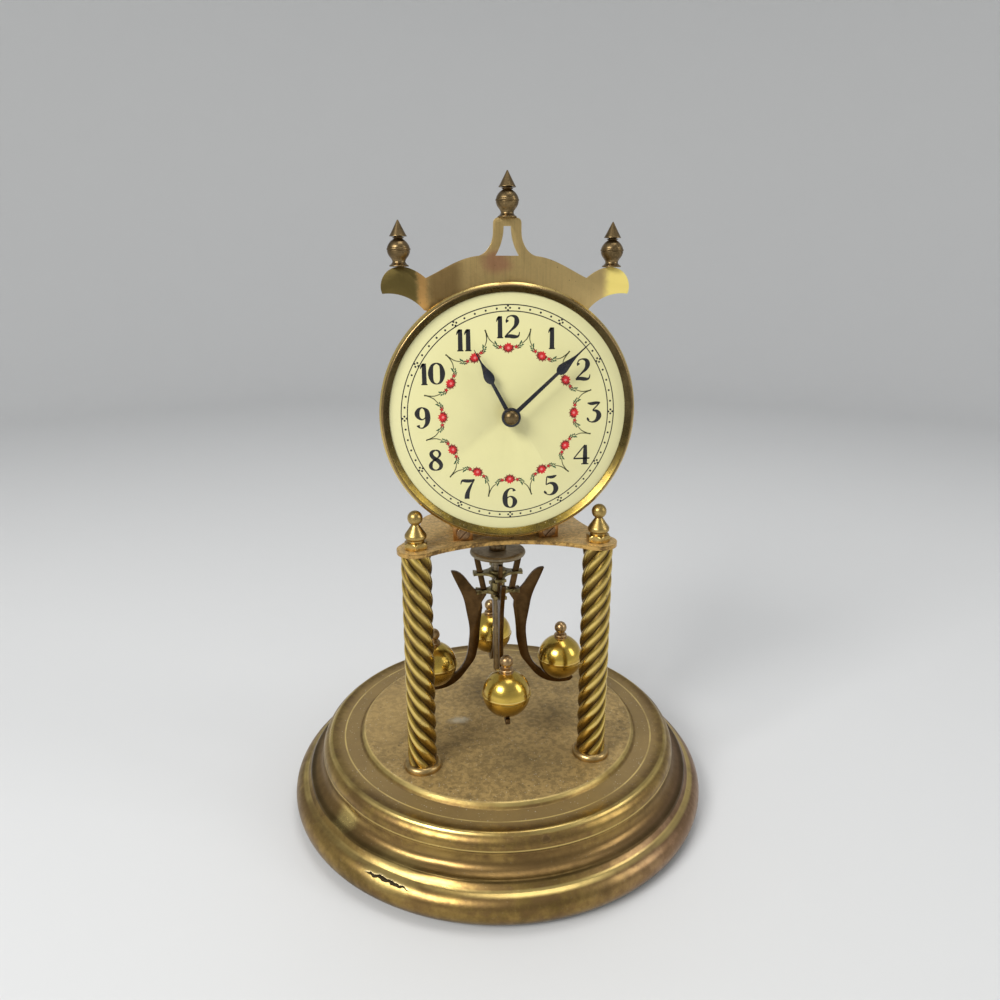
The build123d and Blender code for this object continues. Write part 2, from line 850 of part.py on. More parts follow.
def plate_face():
    """A plate on two legs, with its lower corners cut off."""
    inner = leg_offset - leg_width / 2
    outer = leg_offset + leg_width / 2
    half = [
        (inner, plate_bottom),
        (inner, platform_top),
        (outer, platform_top),
        (outer, plate_bottom + leg_width / 4),
        (outer + plate_corner_width, plate_bottom + leg_width / 4 + plate_corner_height),
        (plate_half_width, plate_top),
    ]
    return outline(half[0], *half[1:], *mirrored(half))


def pillar_places():
    places = [(side * leg_offset, pillar_screw_z) for side in (-1, 1)]
    return places + [(side * upper_pillar_offset, upper_pillar_z) for side in (-1, 1)]


def dial_post_places():
    return scaled(dial_post_places_shares, dial_radius, dial_radius, z=dial_z)


def drilled(plate, places, radius):
    """The same piece with a hole along Y, right through it, at each place."""
    reach = plate.bounding_box()
    for x, z in places:
        plate -= rod(radius, reach.min.Y - cut_overrun, reach.max.Y + cut_overrun, x, z)
    return plate


def front_plate():
    plate = upright(plate_face(), front_plate_y, gap_front_y)
    plate = drilled(plate, pillar_places(), screw_shank_radius + seat_clearance)
    plate = drilled(plate, dial_post_places(), dial_post_tenon_radius + seat_clearance)
    plate = drilled(plate, [first_at, second_at, escape_at, anchor_at], pivot_radius + running_clearance)
    plate = drilled(plate, [centre_at], centre_arbor_radius + running_clearance)
    plate = drilled(plate, [barrel_at], winding_pivot_radius + running_clearance)
    plate = drilled(plate, [minute_at], minute_post_radius + seat_clearance)
    return drilled(plate, fret_screw_places(), small_screw_share * screw_shank_radius + seat_clearance)


def click_pivot():
    return (barrel_at[0] + click_pivot_out, barrel_at[1] + click_pivot_up)


def click_spring_foot_place():
    x, z = click_pivot()
    tip = click_spring_edge()
    return (tip + click_spring_thickness / 2, z - click_hub_radius - click_spring_length + click_spring_foot / 2)


def bracket_screw_places():
    middle = bracket_half_width - bracket_leg_width / 2
    height = bracket_top - bracket_bar_height - bracket_leg_height / 2
    return [(side * middle, height) for side in (-1, 1)]


def cock_screw_places():
    middle = cock_half_width - cock_foot_width / 2
    return [(side * middle, anchor_at[1]) for side in (-1, 1)]


def back_plate():
    plate = upright(plate_face(), gap_back_y, back_plate_y)
    plate = drilled(plate, pillar_places(), screw_shank_radius + seat_clearance)
    plate = drilled(plate, [first_at, second_at, centre_at, escape_at], pivot_radius + running_clearance)
    plate = drilled(plate, [anchor_at], anchor_hole_radius)
    plate = drilled(plate, [barrel_at], winding_arbor_radius + running_clearance)
    small = small_screw_share * screw_shank_radius + seat_clearance
    return drilled(plate, bracket_screw_places() + cock_screw_places() + [click_spring_foot_place(), click_pivot()],
                   small)


def movement_pillars():
    """Two square lower pillars that stand on the platform, and two round upper ones."""
    pillars = []
    for x, z in pillar_places():
        if z == pillar_screw_z:
            bar = block(lower_pillar_width, plate_gap, plate_clear_height, base=platform_top, x=x,
                        y=(gap_front_y + gap_back_y) / 2)
            bar -= disc(screw_shank_radius + seat_clearance, plate_clear_height / 2 - screw_shank_radius,
                        base=platform_top, x=x, y=gap_front_y + platform_screw_back)
        else:
            bar = rod(upper_pillar_radius, gap_front_y, gap_back_y, x, z)
        bore = screw_shank_radius + seat_clearance
        depth = screw_shank_length - plate_thickness
        bar -= rod(bore, gap_front_y, gap_front_y + depth, x, z)
        bar -= rod(bore, gap_back_y - depth, gap_back_y, x, z)
        pillars.append(bar)
    return pillars


def movement_screws():
    """The eight slotted screws that hold the plates to their pillars."""
    length = screw_shank_length - shift_gap
    screws = []
    for x, z in pillar_places():
        screws.append(front_screw(x, front_plate_y, z, length))
        screws.append(rear_screw(x, back_plate_y, z, length))
    return screws


def platform_screws():
    length = platform_thickness + plate_clear_height / 2 - screw_shank_radius - shift_gap
    y = gap_front_y + platform_screw_back
    return [Pos(side * leg_offset, y, platform_underside) * Rot(180, 0, 0) * screw(length) for side in (-1, 1)]


# Barrel, mainspring, ratchet and click

barrel_front_y = gap_front_y + great_wheel_offset
drum_front_y = barrel_front_y + great_wheel_thickness
drum_back_y = drum_front_y + drum_length


def barrel():
    """The great wheel with the spring's drum behind it."""
    tooth_angle = bearing(barrel_at, first_at)
    blank = upright(gear(great_teeth, great_module, tooth_angle), barrel_front_y, drum_front_y)
    drum = rod(drum_radius, drum_front_y, drum_back_y)
    hollow = rod(drum_radius - drum_wall, drum_front_y, drum_back_y + cut_overrun)
    bore = rod(winding_arbor_radius + running_clearance, barrel_front_y - cut_overrun, drum_back_y)
    return Pos(barrel_at[0], 0, barrel_at[1]) * (blank + drum - hollow - bore)


def barrel_cap():
    cap = rod(drum_radius - drum_wall - seat_clearance, drum_back_y - barrel_cap_thickness, drum_back_y)
    cap -= rod(winding_arbor_radius + running_clearance, drum_front_y, drum_back_y + cut_overrun)
    return Pos(barrel_at[0], 0, barrel_at[1]) * cap


def spiral_steps(start_radius, turns, pitch):
    """Half circles round two centres, each wider than the last by half a pitch."""
    points = []
    right = start_radius
    for _ in range(turns):
        left = right + pitch / 2
        points.append(((-pitch / 4, (right + left) / 2), (-left, 0)))
        right = left + pitch / 2
        points.append(((pitch / 4, -(right + left) / 2), (right, 0)))
    return points


def mainspring():
    """A flat steel spiral, hooked to the drum's wall at its outer end."""
    inner_start = (mainspring_inner_radius, 0)
    inner = spiral_steps(mainspring_inner_radius, mainspring_turns, mainspring_pitch)
    outer = spiral_steps(mainspring_inner_radius + mainspring_thickness, mainspring_turns, mainspring_pitch)
    last, back = reversed_steps((mainspring_inner_radius + mainspring_thickness, 0), outer)
    face = outline(inner_start, *inner, last, *back)
    strip = upright(face, drum_front_y + shift_gap, drum_back_y - barrel_cap_thickness - shift_gap)
    return Pos(barrel_at[0], 0, barrel_at[1]) * strip


def winding_arbor():
    body = rod(winding_pivot_radius, front_plate_y, gap_front_y + arbor_end_play)
    body += rod(winding_arbor_radius, gap_front_y + arbor_end_play, back_plate_y)
    square = Rectangle(winding_square, winding_square)
    body += upright(square, back_plate_y, back_plate_y + winding_square_length)
    return Pos(barrel_at[0], 0, barrel_at[1]) * body


ratchet_front_y = back_plate_y + shift_gap
ratchet_back_y = ratchet_front_y + ratchet_thickness


def ratchet_wheel():
    """Saw teeth with radial faces, on the arbor's square."""
    corners = []
    for k in range(ratchet_teeth):
        angle = 360 * k / ratchet_teeth
        corners.append(polar(ratchet_radius, angle))
        corners.append(polar(ratchet_root_radius, angle))
    face = outline(corners[0], *corners[1:]) - Rectangle(winding_square + 2 * seat_clearance,
                                                         winding_square + 2 * seat_clearance)
    return Pos(barrel_at[0], 0, barrel_at[1]) * upright(face, ratchet_front_y, ratchet_back_y)


def click():
    """The pawl: its nose stands in a tooth gap of the ratchet wheel."""
    hub = (click_pivot_out, click_pivot_up)
    gap_degrees = math.degrees(click_nose_gap / ratchet_root_radius)
    nose = polar(ratchet_root_radius + 2 * click_nose_gap, gap_degrees)
    toe = polar(ratchet_root_radius + click_nose_width, gap_degrees)
    shoulder = polar(ratchet_radius + 2 * click_nose_gap, 360 / ratchet_teeth)
    face = outline(nose, toe, (hub[0] + click_hub_radius, hub[1]), (hub[0] - click_hub_radius, hub[1]), shoulder)
    face += Pos(*hub) * Circle(click_hub_radius)
    face -= Pos(*hub) * Circle(click_screw_radius + running_clearance)
    return Pos(barrel_at[0], 0, barrel_at[1]) * upright(face, ratchet_front_y, ratchet_back_y)


def click_spring_edge():
    """Where the leaf's inner side stands, clear of the click's outer edge as it lifts."""
    toe_x = ratchet_root_radius + click_nose_width
    run = (click_pivot_up - click_hub_radius / 2) / click_pivot_up
    return barrel_at[0] + toe_x + run * (click_pivot_out + click_hub_radius - toe_x) + shift_gap


def click_spring():
    """A straight steel leaf with a screwed foot, its tip beside the click."""
    x, z = click_pivot()
    edge = click_spring_edge()
    top = z - click_hub_radius / 2
    bottom = z - click_hub_radius - click_spring_length
    foot_x, foot_z = click_spring_foot_place()
    leaf = block(click_spring_thickness, click_spring_width, top - bottom, base=bottom,
                 x=edge + click_spring_thickness / 2, y=back_plate_y + click_spring_width / 2)
    foot = block(click_spring_foot, click_spring_width, click_spring_foot, base=foot_z - click_spring_foot / 2,
                 x=foot_x, y=back_plate_y + click_spring_width / 2)
    hole = rod(small_screw_share * screw_shank_radius + seat_clearance, back_plate_y,
               back_plate_y + 2 * click_spring_width, foot_x, foot_z)
    return leaf + foot - hole


def small_screws():
    """Screws of the click, its spring, the suspension bracket, the anchor's cock and the fret."""
    length = plate_thickness
    screws = []
    foot_x, foot_z = click_spring_foot_place()
    foot_face = back_plate_y + click_spring_width
    screws.append(rear_screw(foot_x, foot_face, foot_z, click_spring_width + length, small_screw_share))
    x, z = click_pivot()
    screws.append(rear_screw(x, ratchet_back_y + running_clearance, z,
                             ratchet_back_y + running_clearance - back_plate_y + length, small_screw_share))
    for x, z in bracket_screw_places():
        screws.append(rear_screw(x, back_plate_y + bracket_thickness, z, bracket_thickness + length,
                                 small_screw_share))
    for x, z in cock_screw_places():
        face = back_plate_y + cock_lift + cock_thickness
        screws.append(rear_screw(x, face, z, cock_lift + cock_thickness + length, small_screw_share))
    for x, z in fret_screw_places():
        screws.append(front_screw(x, front_plate_y - fret_thickness, z, fret_thickness + length,
                                  small_screw_share))
    return screws


# Going train

def first_wheel():
    front = gap_front_y + first_wheel_back
    tooth_angle = bearing(first_at, second_at)
    leaf_angle = gap_angle(train_leaves, bearing(first_at, barrel_at))
    leaves = pinion(train_leaves, great_module, leaf_angle, first_at, gap_front_y + arbor_end_play,
                    gap_front_y + arbor_end_play + pinion_length)
    return [wheel(train_teeth, train_module, tooth_angle, first_at, front), arbor(first_at) + leaves]


def second_wheel():
    front = gap_front_y + second_wheel_back
    tooth_angle = bearing(second_at, centre_at)
    leaf_angle = gap_angle(train_leaves, bearing(second_at, first_at))
    middle = gap_front_y + first_wheel_back + wheel_thickness / 2
    leaves = pinion(train_leaves, train_module, leaf_angle, second_at, middle - pinion_length / 2,
                    middle + pinion_length / 2)
    return [wheel(train_teeth, train_module, tooth_angle, second_at, front), arbor(second_at) + leaves]


def centre_wheel():
    front = gap_front_y + centre_wheel_back
    tooth_angle = bearing(centre_at, escape_at)
    blank = wheel(centre_teeth, centre_module, tooth_angle, centre_at, front)
    return blank - rod(centre_arbor_radius + seat_clearance, front - cut_overrun,
                       front + wheel_hub_length + cut_overrun, *centre_at)


def centre_arbor():
    """The arbor that turns once an hour and comes forward through the dial."""
    leaf_angle = gap_angle(train_leaves, bearing(centre_at, second_at))
    middle = gap_front_y + second_wheel_back + wheel_thickness / 2
    leaves = pinion(train_leaves, train_module, leaf_angle, centre_at, middle - pinion_length / 2,
                    min(middle + pinion_length / 2, gap_back_y - arbor_end_play))
    nose = dial_y - minute_hand_forward - hand_nut_height / 2
    shaft = rod(centre_arbor_radius, nose, gap_front_y + centre_wheel_back + wheel_hub_length, *centre_at)
    rear = rod(arbor_radius, gap_front_y + centre_wheel_back, gap_back_y - arbor_end_play, *centre_at)
    return shaft + rear + rod(pivot_radius, gap_back_y - 2 * arbor_end_play, back_plate_y, *centre_at) + leaves


def escape_tooth(angle):
    """One slender tooth: a radial leading face and a sloping back."""
    root = escape_wheel_radius - escape_tooth_depth
    back = math.degrees(escape_tooth_base / root)
    tip_back = math.degrees(escape_tooth_tip / escape_wheel_radius)
    low = root - escape_tooth_depth / 4
    return outline(polar(low, angle), polar(escape_wheel_radius, angle),
                   polar(escape_wheel_radius, angle - tip_back),
                   polar(low, angle - back))


def escape_wheel():
    """The wheel turns against the hands, so each leading face looks that way."""
    front = gap_front_y + escape_wheel_back
    root = escape_wheel_radius - escape_tooth_depth
    lead = math.degrees((pallet_width / 2 + pallet_lead_gap) / escape_wheel_radius)
    entry = 90 - pallet_half_span - lead
    face = Circle(root) - crossings(root - wheel_rim_width, wheel_hub_radius + wheel_spoke_width / 2)
    for k in range(escape_teeth):
        face += escape_tooth(entry + 360 * k / escape_teeth)
    hub = rod(wheel_hub_radius, front, front + wheel_hub_length)
    blank = upright(face, front, front + wheel_thickness) + hub
    blank -= rod(arbor_radius + seat_clearance, front - cut_overrun, front + wheel_hub_length + cut_overrun)
    leaf_angle = gap_angle(train_leaves, bearing(escape_at, centre_at))
    leaves = pinion(train_leaves, centre_module, leaf_angle, escape_at, gap_front_y + escape_pinion_back,
                    gap_front_y + escape_pinion_back + pinion_length)
    return [Pos(escape_at[0], 0, escape_at[1]) * blank, arbor(escape_at) + leaves]


def anchor():
    """Pallets, arbor, collar and the upright pin that stands in the fork."""
    front = gap_front_y + escape_wheel_back - (pallet_thickness - wheel_thickness) / 2
    reach = escape_wheel_radius + pallet_clearance
    half = pallet_width / 2
    half_turn = math.degrees(half / reach)
    tip_x, tip_z = polar(reach, 90 - pallet_half_span, *escape_at)
    elbow_z = (tip_z + anchor_at[1]) / 2
    right = [
        (half, anchor_at[1] - 2 * anchor_arm_width / 3),
        (tip_x, elbow_z),
        polar(reach, 90 - pallet_half_span + half_turn, *escape_at),
        polar(reach, 90 - pallet_half_span - half_turn, *escape_at),
        (tip_x + anchor_arm_width, elbow_z),
        (anchor_collar_radius, anchor_at[1] + anchor_collar_radius),
    ]
    face = outline(right[0], *right[1:], *mirrored(right))
    pallets = upright(face, front, front + pallet_thickness)
    pallets -= rod(arbor_radius + seat_clearance, front - cut_overrun, front + 2 * pallet_thickness, *anchor_at)
    cock_front = back_plate_y + cock_lift
    staff = rod(arbor_radius, gap_front_y + arbor_end_play, cock_front - arbor_end_play, *anchor_at)
    staff += rod(pivot_radius, front_plate_y, cock_front + cock_thickness, *anchor_at)
    pin_y = back_plate_y + anchor_pin_back
    staff += rod(anchor_collar_radius, pin_y - 2 * anchor_pin_radius, pin_y + 2 * anchor_pin_radius, *anchor_at)
    pin_top = fork_z + fork_height
    staff += disc(anchor_pin_radius, pin_top - anchor_at[1], base=anchor_at[1], x=anchor_at[0], y=pin_y)
    return [pallets, staff]


def anchor_cock():
    """The bridge behind the back plate that holds the anchor's rear pivot."""
    rear = back_plate_y + cock_lift + cock_thickness
    base = anchor_at[1] - cock_height / 2
    bar = block(2 * cock_half_width, cock_thickness, cock_height, base=base, y=rear - cock_thickness / 2)
    for side in (-1, 1):
        middle = side * (cock_half_width - cock_foot_width / 2)
        bar += block(cock_foot_width, rear - back_plate_y, cock_height, base=base, x=middle,
                     y=(rear + back_plate_y) / 2)
    bar = drilled(bar, cock_screw_places(), small_screw_share * screw_shank_radius + seat_clearance)
    return bar - rod(pivot_radius + running_clearance, back_plate_y, rear + cut_overrun, *anchor_at)


# Motion work, dial and hands

def cannon_pinion():
    front = front_plate_y - minute_wheel_forward - motion_depth / 2
    tooth_angle = bearing(centre_at, minute_at)
    leaves = pinion(cannon_teeth, motion_module, tooth_angle, centre_at, front,
                    front_plate_y - shift_gap)
    pipe = rod(cannon_pipe_radius, dial_y - minute_hand_forward, front_plate_y - shift_gap, *centre_at)
    return leaves + pipe - rod(centre_arbor_radius + seat_clearance, 2 * dial_y, 0, *centre_at)


def minute_wheel():
    """The wheel and pinion beside the cannon pinion."""
    back = front_plate_y - minute_wheel_forward
    front = back - minute_wheel_thickness
    toward = bearing(minute_at, centre_at)
    face = gear(minute_teeth, motion_module, gap_angle(minute_teeth, toward))
    blank = Pos(minute_at[0], 0, minute_at[1]) * upright(face, front, back)
    leaves = pinion(minute_leaves, hour_module, gap_angle(minute_leaves, toward), minute_at,
                    front - motion_depth, front)
    return blank + leaves - rod(minute_post_radius + running_clearance, 2 * dial_y, 0, *minute_at)


def minute_post():
    head = minute_post_radius + motion_module
    end = front_plate_y - minute_wheel_forward - minute_wheel_thickness - motion_depth - running_clearance
    post = rod(minute_post_radius, end, gap_front_y, *minute_at)
    return post + rod(head, end - minute_wheel_thickness / 2, end, *minute_at)


def hour_wheel():
    """The wheel that turns once in twelve hours, with its pipe through the dial."""
    back = front_plate_y - hour_wheel_forward
    front = back - wheel_thickness
    face = gear(hour_teeth, hour_module, bearing(centre_at, minute_at))
    blank = Pos(centre_at[0], 0, centre_at[1]) * upright(face, front, back)
    pipe = rod(hour_pipe_radius, dial_y - hour_hand_forward, back, *centre_at)
    return blank + pipe - rod(cannon_pipe_radius + running_clearance, 2 * dial_y, 0, *centre_at)


def dial():
    plate = rod(dial_radius, dial_y, dial_back_y, *centre_at)
    return plate - rod(dial_hole_radius, 2 * dial_y, 0, *centre_at)


def dial_posts():
    posts = []
    for x, z in dial_post_places():
        post = rod(dial_post_radius, dial_back_y, front_plate_y, x, z)
        posts.append(post + rod(dial_post_tenon_radius, dial_back_y, gap_front_y, x, z))
    return posts


def bezel():
    """A rolled brass ring with a crest and an inner slope down to the dial."""
    depth_back = dial_y + bezel_depth - bezel_crest_height
    inner_wall = bezel_outer_radius - bezel_wall
    crest = (bezel_crest_radius, bezel_crest_height)
    shoulder = (bezel_outer_radius, bezel_crest_height - (bezel_outer_radius - bezel_crest_radius))
    lip = (bezel_inner_radius, bezel_lip_height)
    section = outline(
        (bezel_outer_radius, dial_y - depth_back),
        shoulder,
        (arc_middle(shoulder, crest, -bezel_bulge), crest),
        (arc_middle(crest, lip, bezel_bulge / 2), lip),
        (bezel_inner_radius, 0),
        (inner_wall, 0),
        (inner_wall, dial_y - depth_back),
    )
    ring = revolve(Rot(90, 0, 0) * section, Axis.Z, 360)
    return Pos(0, dial_y, dial_z) * Rot(90, 0, 0) * ring


def pear_hand(length, bulb_reach, stem_end, boss_radius, bore_radius, angle, forward, boss_height):
    """A pear-shaped hand: a stem, a round bulb and a long thin point."""
    waist = bulb_reach + hand_waist_share * (length - bulb_reach)
    shoulder = (hand_shoulder_shares[0] * hand_bulb_half_width,
                stem_end + hand_shoulder_shares[1] * (bulb_reach - stem_end))
    neck = [(across * hand_bulb_half_width, bulb_reach + along * (waist - bulb_reach))
            for across, along in hand_neck_shares]
    side = [
        (hand_root_half_width, 0),
        (hand_stem_half_width, stem_end),
        shoulder,
        (hand_bulb_half_width, bulb_reach),
        *neck,
        (hand_waist_half_width, waist),
        (hand_tip_half_width, length),
    ]
    left = mirrored(side)
    face = outline(side[0], side[1], side[2:-1], side[-1], left[0], left[1], left[2:-1], left[-1])
    face += Circle(boss_radius)
    blade = upright(face, -hand_thickness, 0)
    blade += rod(boss_radius, -hand_thickness - boss_height, 0)
    blade -= rod(bore_radius + seat_clearance, -length, length)
    return Pos(0, dial_y - forward + hand_thickness, dial_z) * Rot(0, angle, 0) * blade


def hour_hand():
    return pear_hand(hour_hand_length, hour_bulb_reach, hour_stem_end, hour_boss_radius, hour_pipe_radius,
                     hour_angle, hour_hand_forward, 0)


def minute_hand():
    return pear_hand(minute_hand_length, minute_bulb_reach, minute_stem_end, minute_boss_radius,
                     cannon_pipe_radius, minute_angle, minute_hand_forward, minute_boss_height)


def hand_nut():
    """The domed brass cap that holds the minute hand."""
    shoulder = (hand_nut_round_shares[0] * hand_nut_radius, hand_nut_round_shares[1] * hand_nut_height)
    section = outline((0, 0), (hand_nut_radius, 0), (hand_nut_radius, hand_nut_height / 3),
                      (shoulder, (hand_nut_point_radius, hand_nut_height)), (0, hand_nut_height))
    face = dial_y - minute_hand_forward - minute_boss_height
    nut = Pos(0, face, dial_z) * Rot(90, 0, 0) * turned(section)
    return nut - rod(centre_arbor_radius + seat_clearance, dial_y - minute_hand_forward - hand_nut_height / 2, 0,
                     *centre_at)


# Fret and finials

def fret_screw_places():
    return [(side * fret_screw_offset, dial_z + fret_screw_rise) for side in (-1, 1)]


def fret():
    def points(shares):
        return scaled(shares, fret_half_width, fret_rise, z=dial_z)

    crown = points(fret_crown_shares)
    flare = points(fret_flare_shares)
    arch = points(fret_arch_shares)
    lobe = points(fret_lobe_shares)
    under = points(fret_under_shares)
    foot = (fret_foot_half_width, dial_z + fret_foot_rise)
    left_crown = mirrored(crown)
    left_flare = mirrored(flare)
    left_arch = mirrored(arch)
    left_lobe = mirrored(lobe)
    left_under = mirrored(under)
    face = outline(
        crown[0],
        (crown[1], crown[2]),
        crown[3],
        [flare[0], flare[1], flare[2]],
        [arch[0], arch[1], arch[2]],
        [lobe[0], lobe[1], lobe[2], lobe[3], lobe[4]],
        (under[0], under[1]),
        (foot[0], foot[1] + fret_foot_height),
        foot,
        (-foot[0], foot[1]),
        (-foot[0], foot[1] + fret_foot_height),
        left_under[0],
        (left_under[1], left_lobe[0]),
        [left_lobe[1], left_lobe[2], left_lobe[3], left_lobe[4], left_arch[0]],
        [left_arch[1], left_arch[2], left_flare[0]],
        [left_flare[1], left_flare[2], left_crown[0]],
        left_crown[1],
        (left_crown[2], left_crown[3]),
    )
    top, waist, sill = points(fret_hole_shares)
    hole = outline(top, (waist, sill), (-sill[0], sill[1]), ((-waist[0], waist[1]), (-top[0], top[1])))
    face -= hole
    for x, z in finial_places():
        face += Pos(x, z + tenon_height / 2) * Rectangle(tenon_width, tenon_height)
    plate = upright(face, front_plate_y - fret_thickness, front_plate_y)
    radius = small_screw_share * screw_shank_radius + seat_clearance
    for x, z in fret_screw_places():
        plate -= rod(radius, 2 * front_plate_y, 0, x, z)
    return plate


def finial_places():
    """Where the three finials stand on the fret's edge."""
    lobe_x = fret_lobe_finial_share * fret_half_width
    lobe_z = dial_z + fret_lobe_shares[1][1] * fret_rise
    return [(-lobe_x, lobe_z), (0, dial_z + fret_rise), (lobe_x, lobe_z)]


def finial(place_x, place_z):
    """A turned finial: foot ring, neck, banded ball and cone."""
    band = finial_band_height / 2
    foot_edge = (finial_base_radius, finial_base_height)
    neck = (finial_neck_radius, finial_base_height + (finial_ball_rise - finial_ball_radius) / 2)
    low = finial_ball_rise - math.sqrt(finial_ball_radius ** 2 - finial_neck_radius ** 2)
    high = finial_ball_rise + math.sqrt(finial_ball_radius ** 2 - finial_throat_radius ** 2)
    side = math.sqrt(finial_ball_radius ** 2 - band ** 2)
    lower_quarter = polar(finial_ball_radius, -finial_quarter_angle, 0, finial_ball_rise)
    upper_quarter = polar(finial_ball_radius, finial_quarter_angle, 0, finial_ball_rise)
    section = outline(
        (0, 0),
        (finial_base_radius, 0),
        foot_edge,
        neck,
        (finial_neck_radius, low),
        (lower_quarter, (side, finial_ball_rise - band)),
        (finial_band_radius, finial_ball_rise - band),
        (finial_band_radius, finial_ball_rise + band),
        (side, finial_ball_rise + band),
        (upper_quarter, (finial_throat_radius, high)),
        (finial_throat_radius, finial_cone_rise - finial_cone_edge),
        (finial_cone_radius, finial_cone_rise - finial_cone_edge),
        (finial_cone_radius, finial_cone_rise),
        (0, finial_height),
    )
    slot = block(tenon_width + 2 * tenon_clearance, fret_thickness + 2 * tenon_clearance,
                 tenon_height + tenon_clearance)
    return Pos(place_x, front_plate_y - fret_thickness / 2, place_z) * (turned(section) - slot)


# Suspension

def suspension_bracket():
    """A two-legged bracket on the back plate, with an arm out over the pendulum's axis."""
    front = back_plate_y
    rear = back_plate_y + bracket_thickness
    y = (front + rear) / 2
    bar_base = bracket_top - bracket_bar_height
    bracket = block(2 * bracket_half_width, bracket_thickness, bracket_bar_height, base=bar_base, y=y)
    for side in (-1, 1):
        middle = side * (bracket_half_width - bracket_leg_width / 2)
        bracket += block(bracket_leg_width, bracket_thickness, bracket_leg_height, base=bar_base - bracket_leg_height,
                         x=middle, y=y)
    arm_length = bracket_arm_reach - front
    bracket += block(2 * bracket_arm_half_width, arm_length, bracket_arm_thickness,
                     base=bracket_top - bracket_arm_thickness, y=front + arm_length / 2)
    bracket = drilled(bracket, bracket_screw_places(), small_screw_share * screw_shank_radius + seat_clearance)
    return bracket - disc(strip_hole_radius, 2 * bracket_top)


def strip_box(clearance):
    """The suspension strip, grown by a clearance."""
    top = top_block_z + top_block_height - shift_gap
    return block(strip_width + 2 * clearance, strip_thickness + 2 * clearance, top - strip_bottom + clearance,
                 base=strip_bottom)


def suspension_top_block():
    body = block(top_block_width, top_block_depth, top_block_height, base=top_block_z)
    return body - strip_box(seat_clearance)


def suspension_strip():
    return strip_box(0.0)


def suspension_fork():
    """The fork on the strip: two tines that hold the anchor's pin between them."""
    fork = disc(fork_hub_radius, fork_height, base=fork_z - fork_height / 2)
    for side in (-1, 1):
        fork += block(fork_tine_width, fork_reach, fork_height, base=fork_z - fork_height / 2,
                      x=side * (fork_slot + fork_tine_width) / 2, y=-fork_reach / 2)
    return fork - disc(strip_hole_radius, 2 * fork_z)


# Pendulum

def pendulum_hook():
    """The cap on the rod with two slotted cheeks for the block's cross pin."""
    hook = disc(hook_base_radius, hook_base_height, base=hook_base)
    gap = bottom_block_width + 2 * running_clearance
    for side in (-1, 1):
        hook += block(hook_cheek_thickness, hook_cheek_depth, hook_cheek_height, base=hook_top,
                      x=side * (gap + hook_cheek_thickness) / 2)
    slot = block(4 * bottom_block_width, 2 * (hook_pin_radius + seat_clearance), bottom_block_height,
                 base=hook_pin_z)
    seat = Pos(0, 0, hook_pin_z) * Rot(0, 90, 0) * Cylinder(hook_pin_radius + seat_clearance,
                                                            4 * bottom_block_width)
    return hook - slot - seat - disc(pendulum_rod_radius + seat_clearance, hook_base_height / 2, base=hook_base)


def suspension_bottom_block():
    """The small block on the strip's lower end, with its cross pin."""
    body = block(bottom_block_width, bottom_block_width, bottom_block_height, base=bottom_block_z)
    length = bottom_block_width + 2 * (running_clearance + hook_cheek_thickness)
    body += Pos(0, 0, hook_pin_z) * Rot(0, 90, 0) * Cylinder(hook_pin_radius, length)
    return body - disc(strip_hole_radius, bottom_block_height, base=strip_bottom - shift_gap / 2)


def pendulum_rod():
    """The rod through the regulating disc, with the round-ended spindle below the star."""
    neck = star_z - star_hub_below
    section = outline(
        (0, hook_base + hook_base_height / 2 - seat_clearance),
        (pendulum_rod_radius, hook_base + hook_base_height / 2 - seat_clearance),
        (pendulum_rod_radius, neck),
        (spindle_radius, neck),
        (spindle_radius, neck - spindle_length + spindle_radius),
        ((spindle_radius * math.sqrt(0.5), neck - spindle_length + spindle_radius * (1 - math.sqrt(0.5))),
         (0, neck - spindle_length)),
    )
    return turned(section)


def regulating_disc():
    """The round-edged disc on its threaded sleeve."""
    bore = pendulum_rod_radius + running_clearance
    half = disc_thickness / 2
    rim = disc_radius - half
    section = outline(
        (bore, disc_top),
        (rim, disc_top),
        ((disc_radius, disc_z), (rim, disc_bottom)),
        (disc_sleeve_radius, disc_bottom),
        (disc_sleeve_radius, disc_bottom - disc_sleeve_length),
        (bore, disc_bottom - disc_sleeve_length),
    )
    return turned(section)


def star_face(radius, half_width, waist):
    """A star with four blunt lobes and hollow sides, drawn in (x, y)."""
    steps = []
    start = None
    for k in range(arm_count):
        turn = 360 * k / arm_count
        spread = math.degrees(math.asin(half_width / radius))
        near, far = polar(radius, turn - spread), polar(radius, turn + spread)
        start = start or near
        if k:
            steps.append((polar(waist, turn - 180 / arm_count), near))
        steps.append((polar(radius, turn), far))
    steps.append((polar(waist, -180 / arm_count), start))
    return outline(start, *steps)


def lever_out_at(height):
    """The lever's middle, out from the axis, at a height above the arm's pivot."""
    slope = (lever_top_out - lever_root_out) / (lever_height - lever_root_rise)
    return lever_root_out + slope * (height - lever_root_rise)


def star_nut():
    """The slotted star that rides on the sleeve's thread and leads the four levers."""
    bottom = star_nut_z - star_nut_thickness / 2
    nut = Pos(0, 0, bottom) * extrude(star_face(star_nut_radius, star_nut_lobe_half_width, star_nut_waist_radius),
                                      amount=star_nut_thickness)
    nut += disc(star_nut_hub_radius, star_nut_hub_height, base=star_nut_z - star_nut_hub_height / 2)
    nut -= disc(disc_sleeve_radius + running_clearance, 2 * star_nut_z)
    middle = lever_out_at(star_nut_z - star_z)
    slot = block(lever_width + 2 * arm_slot_clearance, arm_thickness + 2 * arm_slot_clearance, 2 * star_nut_z,
                 x=middle)
    for k in range(arm_count):
        nut -= Rot(0, 0, 360 * k / arm_count) * slot
    return nut


